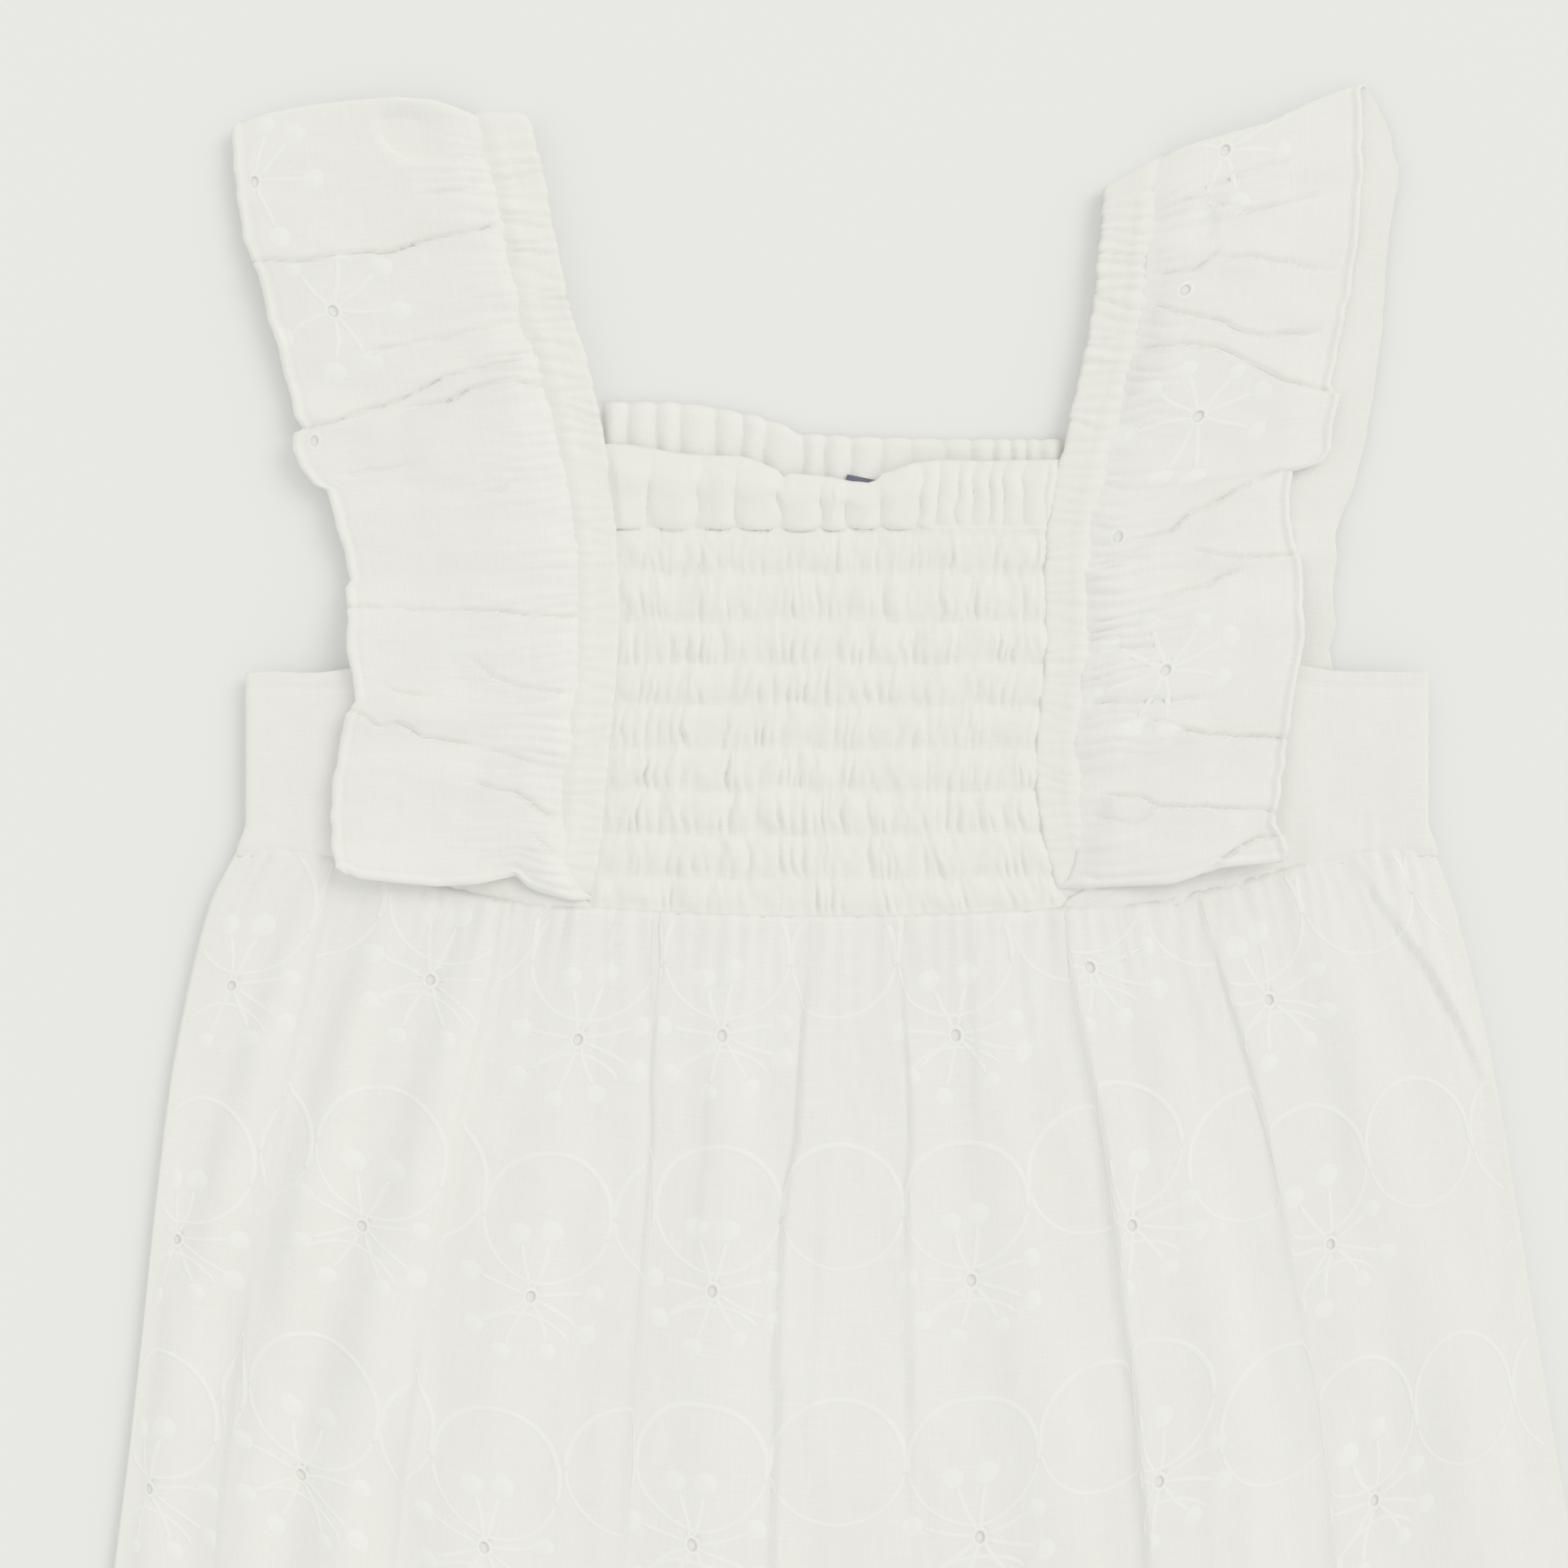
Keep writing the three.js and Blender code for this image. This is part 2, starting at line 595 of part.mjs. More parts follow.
// Back body, flat on the floor.
function backBody() {
  const rows = 11;
  return wallUnder(
    gridOf(20, rows, (across, j) => {
      const p = bodyPlace(across, j / rows);
      p.y -= seamGap * smooth(0.85, 1, j / rows);
      p.z = level.backPanel;
      return p;
    }),
    clothWall,
  );
}

// Elastic band round a leg opening: down the front edge, round the crotch end and back.
function legBand(side) {
  const columns = 3;
  const steps = { flat: 14, turn: 4 };
  const rows = 2 * (steps.flat + steps.turn);
  const radius = (level.legFront - level.legBack) / 2;
  const middle = (level.legFront + level.legBack) / 2;
  const atSeam = 0.5 + sign[side] * 0.5;
  const atCrotch = 0.5 + (sign[side] * crotchHalf) / hemWide;
  const clearOfEnds = 0.012;
  const edge = (share) =>
    bodyPlace(lerp(atSeam, atCrotch, lerp(clearOfEnds, 1 - clearOfEnds, share)), 0);
  const plan = (share, wide, beyond) => {
    const p = edge(share);
    const step = 0.02;
    const ahead = edge(Math.min(share + step, 1))
      .sub(edge(Math.max(share - step, 0)))
      .normalize();
    const out = new THREE.Vector3(-ahead.y, ahead.x, 0);
    if (out.y > 0) out.negate();
    return p.addScaledVector(out, edgeGap + wide).addScaledVector(ahead, beyond);
  };
  const grid = gridOf(columns, rows - 1, (across, j) => {
    const wide = across * legBandWide;
    const turnEnd = steps.flat + steps.turn;
    if (j <= steps.flat) {
      const p = plan(j / steps.flat, wide, 0);
      p.z = level.legFront + 0.4 * (j % 2) * Math.sin((Math.PI * j) / steps.flat);
      return p;
    }
    if (j < turnEnd) {
      const angle = (Math.PI * (j - steps.flat)) / steps.turn;
      const p = plan(1, wide, radius * Math.sin(angle));
      p.z = middle + radius * Math.cos(angle);
      return p;
    }
    if (j <= turnEnd + steps.flat) {
      const p = plan((turnEnd + steps.flat - j) / steps.flat, wide, 0);
      p.z = level.legBack;
      return p;
    }
    const angle = (Math.PI * (j - turnEnd - steps.flat)) / steps.turn;
    const p = plan(0, wide, -radius * Math.sin(angle));
    p.z = middle - radius * Math.cos(angle);
    return p;
  });
  return wallAbout(grid, bandWall, true);
}

const romper = new THREE.Group();
function sew(name, geometry, material) {
  const piece = new THREE.Mesh(geometry, material);
  piece.name = name;
  romper.add(piece);
}

sew("front_bodice", frontBodice(), elasticCotton);
sew("back_bodice", backBodice(), elasticCotton);
for (const side of ["left", "right"]) {
  sew("strap_" + side, strap(side), elasticCotton);
  sew("ruffle_" + side, ruffle(side), cotton);
  sew("side_panel_" + side, sidePanel(side), cotton);
  sew("leg_band_" + side, legBand(side), elasticCotton);
}
sew("neck_label", neckLabel(), navyTape);
sew("front_body", frontBody(), cotton);
sew("back_body", backBody(), cotton);

// The origin is the middle of the garment's box, on the surface that it lies on.
const extent = new THREE.Box3().setFromObject(romper);
const middle = extent.getCenter(new THREE.Vector3());
romper.position.set(-middle.x, -middle.y, -extent.min.z);

export default romper;
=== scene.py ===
import math

import bpy
import numpy as np
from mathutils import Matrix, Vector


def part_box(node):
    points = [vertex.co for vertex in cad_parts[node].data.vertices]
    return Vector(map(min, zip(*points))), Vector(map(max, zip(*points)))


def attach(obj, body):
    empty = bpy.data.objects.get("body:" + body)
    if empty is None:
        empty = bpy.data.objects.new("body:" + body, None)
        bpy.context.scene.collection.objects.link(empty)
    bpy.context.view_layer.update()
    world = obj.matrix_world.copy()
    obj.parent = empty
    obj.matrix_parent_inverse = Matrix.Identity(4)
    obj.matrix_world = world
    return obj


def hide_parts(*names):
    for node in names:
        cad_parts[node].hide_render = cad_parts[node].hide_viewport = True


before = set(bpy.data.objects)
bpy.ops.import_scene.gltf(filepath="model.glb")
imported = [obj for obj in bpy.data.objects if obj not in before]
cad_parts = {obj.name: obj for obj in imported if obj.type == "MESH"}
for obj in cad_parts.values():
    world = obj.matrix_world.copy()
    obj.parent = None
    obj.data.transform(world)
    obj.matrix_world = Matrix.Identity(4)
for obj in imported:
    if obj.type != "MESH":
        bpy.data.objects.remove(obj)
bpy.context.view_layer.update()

# The model's box and the garment's own axes: millimetres out from the centre front and up from the waist
bodyLow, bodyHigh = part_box("front_body")

cut = {
    "crotchUp": -268.0,     # lowest point of the body, from the waist
    "seamOut": [148.0, 152.8],  # side seams at the leg openings, left and right of the centre front
    "waistDip": 0.8,
    "waistSag": 1.6,        # the smocked front hangs this much lower in its middle
    "sagHalf": 46.0,        # the sag ends this far from the centre front
    "waistRise": 12.0,      # the waist seam is this much higher at the sides
    "riseOut": [50.0, 116.0],   # and rises between these distances from the centre front
    "sideOut": {"left": 117.3, "right": 118.6},
    "armholeUp": 47.0,
    "armholeRise": 12.0,
    "shoulderUp": {"left": 158.5, "right": 147.0},
    "strapWide": [8.5, 10.5],   # at the waist and at the shoulder
    "legOutUp": -196.0,
    "legInUp": -262.0,
    "crotchHalf": 41.0,
    "crotchCorner": 14.0,
    "legCurve": 0.4,
}
layer = {  # top face of each layer above the floor
    "sideBack": 2.35,
    "frontBody": 2.45,
    "bodice": 3.4,
    "sideFront": 3.9,
    "strap": 4.5,
    "ruffle": 5.8,
    "legFront": 3.4,
}
sign = {"left": -1.0, "right": 1.0}
centreX = 1000 * (bodyLow[0] + bodyHigh[0]) / 2 - (cut["seamOut"][1] - cut["seamOut"][0]) / 2
waistY = 1000 * bodyLow[1] - cut["crotchUp"]
mm = 0.001


# Helpers on whole arrays

def ramp(low, high, x):
    # 0 up to low, 1 from high, and a smooth cubic between them.
    t = np.clip((x - low) / (high - low), 0, 1)
    return t * t * (3 - 2 * t)


def mix(a, b, t):
    # The straight line from a, at 0, to b, at 1.
    return a + (b - a) * t


def bell(x, wide):
    # 1 at 0, and down on both sides as the exponential of minus the square of x over wide.
    return np.exp(-(x / wide) ** 2)


def spread(*parts):
    # Coordinates, each by row, by column or both, joined into one grid of points.
    return np.stack(np.broadcast_arrays(*parts), -1)


def throughRows(table, along, name, at):
    # Cubic pieces through a table's rows: the slope at a row is the one between its two neighbours.
    xs, ys = np.array(table[along], float), np.array(table[name], float)
    if xs[0] > xs[-1]:
        xs, ys = xs[::-1], ys[::-1]
    last = len(xs) - 1
    before, after = np.maximum(np.arange(last + 1) - 1, 0), np.minimum(np.arange(last + 1) + 1, last)
    slope = (ys[after] - ys[before]) / (xs[after] - xs[before])
    at = np.clip(at, xs[0], xs[-1])
    k = np.clip(np.searchsorted(xs, at, side="right") - 1, 0, last - 1)
    wide = xs[k + 1] - xs[k]
    t = (at - xs[k]) / wide
    return ((2 * t**3 - 3 * t**2 + 1) * ys[k] + (t**3 - 2 * t**2 + t) * wide * slope[k]
            + (3 * t**2 - 2 * t**3) * ys[k + 1] + (t**3 - t**2) * wide * slope[k + 1])


def softNoise(x, y, seed):
    # Random heights from -1 to 1 on a unit lattice, joined by smooth cubic steps both ways.
    lattice = np.random.default_rng(seed).uniform(-1, 1, (128, 128))
    x, y = np.broadcast_arrays(x, y)
    i, j = np.floor(x).astype(int), np.floor(y).astype(int)
    s, t = x - i, y - j
    s, t = s * s * (3 - 2 * s), t * t * (3 - 2 * t)
    i, j = i % 127, j % 127
    near = mix(lattice[j, i], lattice[j, i + 1], s)
    far = mix(lattice[j + 1, i], lattice[j + 1, i + 1], s)
    return mix(near, far, t)


def cellNoise(column, row, seed):
    # One random number from 0 to 1 for each whole column and row.
    table = np.random.default_rng(seed).uniform(0, 1, (64, 512))
    return table[np.asarray(row).astype(int) % 64, np.asarray(column).astype(int) % 512]


def gathers(place, drift, seed, sharp=0.75):
    # Rows of uneven small folds, one for each unit of place: a rounded crest between sharp valleys,
    # shifted by noise along drift so that no fold runs quite straight.
    shifted = place + 0.38 * softNoise(place * 0.9, drift, seed)
    shifted = shifted + 0.2 * softNoise(place * 0.35, drift * 0.6, seed + 1)
    tall = 0.62 + 0.38 * softNoise(place * 0.83 + 9, drift * 0.5, seed + 2)
    return tall * np.abs(np.sin(np.pi * shifted)) ** sharp


def squareTo(points):
    # Unit directions square to a grid of points: the cross product of its two slopes.
    n = np.cross(np.gradient(points, axis=1), np.gradient(points, axis=0))
    return n / np.maximum(np.linalg.norm(n, axis=2, keepdims=True), 1e-9)


def flutes(x, grooves, power):
    # 0 in each groove and 1 on the crest half way to the next: a half sine to a power.
    grooves = np.array(grooves, float)
    k = np.clip(np.searchsorted(grooves, x) - 1, 0, len(grooves) - 2)
    t = (x - grooves[k]) / (grooves[k + 1] - grooves[k])
    return np.abs(np.sin(math.pi * np.clip(t, 0, 1))) ** power


def pinchAt(across, elastics, deep, wide):
    # 1, but for a bell-shaped dip at each elastic.
    pinch = np.ones_like(across)
    for at in elastics:
        pinch = pinch * (1 - deep * bell(across - at, wide))
    return pinch


def toWorld(points):
    # Garment millimetres to the model's metres: moved by the centre front and the waist, then scaled.
    return (points + [centreX, waistY, 0]) * mm


def waistSag(x):
    # How much lower the waist hangs between the straps: a parabola.
    return cut["waistSag"] * np.maximum(1 - (x / cut["sagHalf"]) ** 2, 0)


def waistUp(x):
    # Level between the straps but for that sag, then a smooth rise to the side seams.
    return -cut["waistDip"] - waistSag(x) + cut["waistRise"] * ramp(*cut["riseOut"], np.abs(x))


strapWaist = waistUp(cut["riseOut"][0])     # the waist's height under the straps


# Turning grids into cloth

def meshFrom(name, points, quads, uv, material, shown=None):
    # Points that no face uses are left out. shown says how much of a thread's own colour a point has.
    used, corners = np.unique(quads, return_inverse=True)
    uv = uv[quads]
    points, quads = points[used], corners.reshape(quads.shape)
    mesh = bpy.data.meshes.new(name)
    mesh.vertices.add(len(points))
    mesh.vertices.foreach_set("co", points.astype(np.float32).ravel())
    mesh.loops.add(quads.size)
    mesh.loops.foreach_set("vertex_index", quads.astype(np.int32).ravel())
    mesh.polygons.add(len(quads))
    mesh.polygons.foreach_set("loop_start", np.arange(0, quads.size, 4, dtype=np.int32))
    mesh.update(calc_edges=True)
    mesh.validate()
    mesh.polygons.foreach_set("use_smooth", np.ones(len(mesh.polygons), bool))
    mesh.uv_layers.new(name="cloth").data.foreach_set("uv", uv.astype(np.float32).ravel())
    if shown is not None:
        thread = mesh.attributes.new("thread", "FLOAT", "POINT")
        thread.data.foreach_set("value", shown[used].astype(np.float32))
    mesh.materials.append(material)
    piece = bpy.data.objects.new(name, mesh)
    bpy.context.scene.collection.objects.link(piece)
    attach(piece, "root")
    return piece


def gridQuads(rows, columns, loop=False, keep=None):
    # The four corners of each cell between two rows and two columns. A loop joins the last row to the first.
    j, i = np.mgrid[0:rows if loop else rows - 1, 0:columns - 1]
    here, below = j * columns + i, (j + 1) % rows * columns + i
    quads = np.stack([here, here + 1, below + 1, below], -1)
    return quads[keep] if keep is not None else quads.reshape(-1, 4)


def cloth(name, points, coords, material, wall, loop=False, keep=None, flip=False):
    # A grid of points in garment millimetres becomes a sheet with a wall under its outer face.
    rows, columns = points.shape[:2]
    quads = gridQuads(rows, columns, loop, keep)
    if flip:
        quads = quads[:, ::-1]
    piece = meshFrom(name, toWorld(points).reshape(-1, 3), quads, coords.reshape(-1, 2), material)
    body = piece.modifiers.new("wall", "SOLIDIFY")
    body.thickness = wall * mm
    body.offset = -1
    body.use_even_offset = False
    return piece


def laidSize(points):
    # Mean length of the grid's rows and of its columns, in metres: the cut of what shows.
    wide = np.linalg.norm(np.diff(points, axis=1), axis=2).sum(1).mean()
    long = np.linalg.norm(np.diff(points, axis=0), axis=2).sum(0).mean()
    return float(wide * mm), float(long * mm)


def clothPlaces(points, wide):
    # Places on the flat cloth: even steps across, and down it the mean lengths of the grid's own steps.
    steps = np.linalg.norm(np.diff(points, axis=0), axis=2).mean(1)
    down = np.r_[0, np.cumsum(steps)]
    return np.stack(np.meshgrid(np.linspace(0, wide, points.shape[1]), down), -1)


def declare(piece, slot, points, held, restsOn, node=None, **more):
    if node:
        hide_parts(node)


# Materials

yarn = {
    "sheenRoughness": 0.5,
    "along": 0.07,          # noise this much slower along a thread than across it
    "cloudAlong": 0.35,
    "detail": [2.0, 3.0],   # of the threads' noise and of the broad streaks'
    "share": [0.32, 0.36],  # of each in the tone
    "tone": [0.36, 0.64],   # sums at which the cloth is at its darkest and its lightest
    "deep": 0.0002,
}
plainCotton = {"roughness": 0.93, "sheen": 0.12, "specular": 0.25, "thread": 2.3, "cloud": 0.16, "bump": 0.4}
finish = {
    "cotton": {**plainCotton, "dark": (0.822, 0.827, 0.780), "light": (0.884, 0.888, 0.846),
               "roughness": 0.92, "thread": 1.9, "cloud": 0.05},
    "elasticCotton": {**plainCotton, "dark": (0.828, 0.830, 0.776), "light": (0.872, 0.872, 0.826)},
    # The back's inner face: the cloth's white with a warmer, slightly darker tone, which is painted shade
    # from the front lying over it.
    "shadedInsideCotton": {**plainCotton, "dark": (0.842, 0.832, 0.780), "light": (0.880, 0.871, 0.826),
                     "sheen": 0.1, "specular": 0.2},
    # A lining under the front: a real layer, but its darker, warmer tint than the cloth's is painted shade
    # for the hollows of the eyelets above it.
    "shadedLining": {**plainCotton, "dark": (0.826, 0.816, 0.752), "light": (0.862, 0.852, 0.794),
               "sheen": 0.1, "specular": 0.2, "cloud": 0.2},
    "embroidery": {**plainCotton, "dark": (0.895, 0.899, 0.858), "light": (0.925, 0.929, 0.892),
                   "roughness": 0.8, "sheen": 0.15, "thread": 3.2, "cloud": 0.3, "bump": 0.25,
                   "ground": (0.852, 0.856, 0.809)},
    "labelTape": {"dark": (0.022, 0.024, 0.060), "light": (0.040, 0.043, 0.095), "roughness": 0.6,
                  "sheen": 0.1, "specular": 0.4, "thread": 3.0, "cloud": 0.4, "bump": 0.6},
}


def makeMaterial(name, spec):
    # Fine streaks of noise down and across the cloth are its threads. Their sum and a broad streak's give
    # a tone between the dark and the light colour, and the threads alone give the bump.
    material = bpy.data.materials.new(name)
    material.use_nodes = True
    nodes, links = material.node_tree.nodes, material.node_tree.links
    shader = nodes["Principled BSDF"]
    for socket, value in (("Roughness", spec["roughness"]), ("Specular IOR Level", spec["specular"]),
                          ("Sheen Weight", spec["sheen"]), ("Sheen Roughness", yarn["sheenRoughness"])):
        shader.inputs[socket].default_value = value
    where = nodes.new("ShaderNodeUVMap")
    where.uv_map = "cloth"

    def streaks(scale, across, down, detail):
        # Noise at the cloth's places, scaled on its own across and down it.
        turn = nodes.new("ShaderNodeMapping")
        turn.inputs["Scale"].default_value = (scale * across, scale * down, 1)
        noise = nodes.new("ShaderNodeTexNoise")
        noise.inputs["Scale"].default_value = 1.0
        noise.inputs["Detail"].default_value = detail
        links.new(where.outputs["UV"], turn.inputs["Vector"])
        links.new(turn.outputs["Vector"], noise.inputs["Vector"])
        return noise.outputs["Fac"]

    def combine(operation, a, b):
        # The sum or product of two numbers, each a socket or a constant.
        node = nodes.new("ShaderNodeMath")
        node.operation = operation
        for socket, value in zip(node.inputs, (a, b)):
            if isinstance(value, (int, float)):
                socket.default_value = value
            else:
                links.new(value, socket)
        return node.outputs[0]

    warp = streaks(spec["thread"], 1.0, yarn["along"], yarn["detail"][0])
    weft = streaks(spec["thread"], yarn["along"], 1.0, yarn["detail"][0])
    cloud = streaks(spec["cloud"], 1.0, yarn["cloudAlong"], yarn["detail"][1])
    weave = combine("ADD", warp, weft)
    shares = [combine("MULTIPLY", fac, share) for fac, share in zip((weave, cloud), yarn["share"])]
    tone = nodes.new("ShaderNodeValToRGB")
    for element, place, shade in zip(tone.color_ramp.elements, yarn["tone"], ("dark", "light")):
        element.position = place
        element.color = (*spec[shade], 1)
    links.new(combine("ADD", *shares), tone.inputs["Fac"])
    colour = tone.outputs["Color"]
    if "ground" in spec:    # a thread's edges have the colour of the cloth under them
        shown = nodes.new("ShaderNodeAttribute")
        shown.attribute_name = "thread"
        blend = nodes.new("ShaderNodeMix")
        blend.data_type = "RGBA"
        blend.inputs[6].default_value = (*spec["ground"], 1)
        links.new(shown.outputs["Fac"], blend.inputs[0])
        links.new(colour, blend.inputs[7])
        colour = blend.outputs[2]
    links.new(colour, shader.inputs["Base Color"])
    bump = nodes.new("ShaderNodeBump")
    bump.inputs["Strength"].default_value = spec["bump"]
    bump.inputs["Distance"].default_value = yarn["deep"]
    links.new(weave, bump.inputs["Height"])
    links.new(bump.outputs["Normal"], shader.inputs["Normal"])
    return material


material = {name: makeMaterial(name, spec) for name, spec in finish.items()}
print("materials made")


# Camera, floor and light

stage = {
    "centre": [-12.3, 78.2],    # middle of the photograph's frame, in the model's millimetres
    "frameWide": 313.0,         # what the photograph takes in, at the height of the cloth
    "lens": 100.0,
    "clip": [0.05, 20.0],
    "floorHalf": 4.0,
    "floorMatt": [0.95, 0.1],   # roughness and specular level
    "floorDrop": 0.2,
    "floorTone": (0.852, 0.862, 0.864),
    "sky": 0.64,
    "skyTone": (1.0, 0.998, 0.935),
    "key": {"from": (0.66, 0.50, 0.80), "spread": 34.0, "power": 0.75, "tone": (1.0, 0.99, 0.915)},
    "gamma": 1.8,           # the photograph is bright and soft, with little between light and shade
}


def addCamera():
    # Straight above the frame's middle, as far off as the lens needs to take in the frame's width.
    data = bpy.data.cameras.new("camera")
    data.lens = stage["lens"]
    away = stage["frameWide"] * mm * data.lens / data.sensor_width
    data.clip_start, data.clip_end = stage["clip"]
    camera = bpy.data.objects.new("camera", data)
    camera.location = (stage["centre"][0] * mm, stage["centre"][1] * mm, away + layer["frontBody"] * mm)
    bpy.context.scene.collection.objects.link(camera)
    bpy.context.scene.camera = camera


def addFloor():
    # One square of paper just under the garment.
    half, high = stage["floorHalf"], -stage["floorDrop"] * mm
    mesh = bpy.data.meshes.new("floor")
    corners = [(x * half, y * half, high) for x, y in ((-1, -1), (1, -1), (1, 1), (-1, 1))]
    mesh.from_pydata(corners, [], [(0, 1, 2, 3)])
    paper = bpy.data.materials.new("paper")
    paper.use_nodes = True
    shader = paper.node_tree.nodes["Principled BSDF"]
    shader.inputs["Base Color"].default_value = (*stage["floorTone"], 1)
    for socket, value in zip(("Roughness", "Specular IOR Level"), stage["floorMatt"]):
        shader.inputs[socket].default_value = value
    mesh.materials.append(paper)
    floor = bpy.data.objects.new("floor", mesh)
    bpy.context.scene.collection.objects.link(floor)


def addKey(spec):
    # A far lamp: the arctangents of its direction's parts turn it so that its light comes from there.
    lamp = bpy.data.lights.new("key", "SUN")
    lamp.angle = math.radians(spec["spread"])
    lamp.energy = spec["power"]
    lamp.color = spec["tone"]
    light = bpy.data.objects.new("key", lamp)
    x, y, z = spec["from"]
    light.location = (x, y, z)
    light.rotation_euler = (math.atan2(math.hypot(x, y), z), 0, math.atan2(y, x) + math.pi / 2)
    bpy.context.scene.collection.objects.link(light)


def addStage():
    # The camera, the floor and the lamp under an even sky.
    addCamera()
    addFloor()
    addKey(stage["key"])
    world = bpy.data.worlds.new("studio")
    world.use_nodes = True
    sky = world.node_tree.nodes["Background"]
    sky.inputs["Color"].default_value = (*stage["skyTone"], 1)
    sky.inputs["Strength"].default_value = stage["sky"]
    bpy.context.scene.world = world
    bpy.context.scene.view_settings.view_transform = "Standard"
    bpy.context.scene.view_settings.gamma = stage["gamma"]


addStage()
print("stage set")


# Stitches, satin lines and dots on the cloth

stitch = {
    "sink": [0.04, 0.05, 0.06],     # how far a line's edges, a dot's and a ring's lie under the cloth
    "rimSink": 0.3,                 # and a ring's very edges
    "lineEnd": 0.35,                # width of a line at its ends
    "uneven": 0.06,
    "dotRings": [1.0, 0.84, 0.64, 0.36, 0.01],
}


class ClothSurface:  # a grid of points with the cloth's own millimetres, to lay stitches on
    def __init__(self, points, coords):
        self.points, self.coords = points, coords
        self.square = squareTo(points)
        self.square *= np.sign(self.square[..., 2:].mean() or 1.0)

    def at(self, u, v, lift):
        # Points over cloth places u and v: the grid's own points, weighed by the place within a cell,
        # and moved out by lift.
        rows, columns = self.points.shape[:2]
        x = np.clip(np.interp(u, self.coords[0, :, 0], np.arange(columns)), 0, columns - 1.001)
        y = np.clip(np.interp(v, self.coords[:, 0, 1], np.arange(rows)), 0, rows - 1.001)
        i, j = x.astype(int), y.astype(int)
        s, t = (x - i)[..., None], (y - j)[..., None]

        def weigh(values):
            # The straight line between two columns, and then between two rows.
            near, far = values[j, i], values[j + 1, i]
            return mix(mix(near, values[j, i + 1], s), mix(far, values[j + 1, i + 1], s), t)

        n = weigh(self.square)
        n /= np.linalg.norm(n, axis=-1, keepdims=True)
        return weigh(self.points) + n * np.asarray(lift)[..., None]

    def holds(self, u, v, margin):
        # Whether a place lies more than margin inside all four edges.
        u0, u1 = np.sort([self.coords[0, 0, 0], self.coords[0, -1, 0]])
        v0, v1 = np.sort([self.coords[0, 0, 1], self.coords[-1, 0, 1]])
        return u0 + margin < u < u1 - margin and v0 + margin < v < v1 - margin


class Stitchery:  # raised patches laid on a surface, joined into one mesh at the end
    def __init__(self, surface):
        self.surface = surface
        self.points, self.quads, self.coords, self.shown = [], [], [], []
        self.count = 0

    def add(self, u, v, lift, coords, shown, loop=False):
        # One more grid of places, each moved out from the cloth by its lift.
        rows, columns = u.shape
        self.shown.append(np.broadcast_to(shown, u.shape).ravel())
        self.points.append(self.surface.at(u, v, lift).reshape(-1, 3))
        self.quads.append(gridQuads(rows, columns, loop) + self.count)
        self.coords.append(coords.reshape(-1, 2))
        self.count += rows * columns

    def line(self, u, v, wide, tall):
        # A ribbon along a path: half an ellipse across it, which sinks into the cloth at both edges.
        du, dv = np.gradient(u), np.gradient(v)
        size = np.maximum(np.hypot(du, dv), 1e-9)
        turn = np.linspace(0, math.pi, 5)
        sink = stitch["sink"][0]
        side, up = np.cos(turn) * wide / 2, np.sin(turn) * (tall + sink) - sink
        ends = np.ones(len(u))
        ends[[0, -1]] = stitch["lineEnd"]
        uu = u[:, None] - (dv / size * ends)[:, None] * side
        vv = v[:, None] + (du / size * ends)[:, None] * side
        run = np.cumsum(np.r_[0, np.hypot(np.diff(u), np.diff(v))])
        coords = spread(side[None, :], run[:, None])
        self.add(uu, vv, np.broadcast_to(up, uu.shape), coords, np.sin(turn)[None, :])

    def dot(self, u, v, wide, long, turned, tall):
        # A satin-stitched oval: a squared cosine over an ellipse, so that it has no edge.
        around = np.linspace(0, 2 * math.pi, 19)[:-1]
        a, r = np.meshgrid(around, stitch["dotRings"], indexing="ij")
        rim = 1 + stitch["uneven"] * np.sin(3 * a + u) * r
        x, y = rim * r * np.cos(a) * wide / 2, rim * r * np.sin(a) * long / 2
        c, s = math.cos(turned), math.sin(turned)
        up = (tall + stitch["sink"][1]) * np.cos(r * math.pi / 2) ** 2 - stitch["sink"][1]
        coords = np.stack([x * 3, y * 0.4], -1)
        self.add(u + c * x - s * y, v + s * x + c * y, up, coords, 1 - ramp(0.6, 1, r), True)

    def ring(self, u, v, inner, outer, tall):
        # A satin-stitched ring round an eyelet: half an ellipse across, a little uneven round it.
        around = np.linspace(0, 2 * math.pi, 25)[:-1]
        turn = np.linspace(0, math.pi, 6)
        middle, half = (inner + outer) / 2, (outer - inner) / 2
        a, t = np.meshgrid(around, turn, indexing="ij")
        r = middle - half * np.cos(t)
        uneven = 1 + stitch["uneven"] * np.sin(12 * a)
        up = tall * np.sin(t) * uneven - np.where(t == 0, stitch["rimSink"], stitch["sink"][2])
        coords = np.stack([r * 0.4, a * 6], -1)
        self.add(u + r * np.cos(a), v + flower["oval"] * r * np.sin(a), up, coords, np.sin(t), True)

    def backing(self, u, v, radius, deep):
        # A flat round patch under an eyelet: the cloth of the layer below it.
        a, r = np.meshgrid(np.linspace(0, 2 * math.pi, 17)[:-1], [radius, 0.05], indexing="ij")
        x, y = r * np.cos(a), r * np.sin(a)
        self.add(u + x, v + y, np.full(a.shape, -deep), np.stack([x, y], -1), 0.0, True)

    def finish(self, name, thread):
        # All patches as one mesh.
        parts = (self.points, self.quads, self.coords, self.shown)
        points, quads, coords, shown = map(np.concatenate, parts)
        return meshFrom(name, toWorld(points), quads, coords, thread, shown)


# Broderie anglaise: an eyelet flower on a square lattice, under a chain of circles

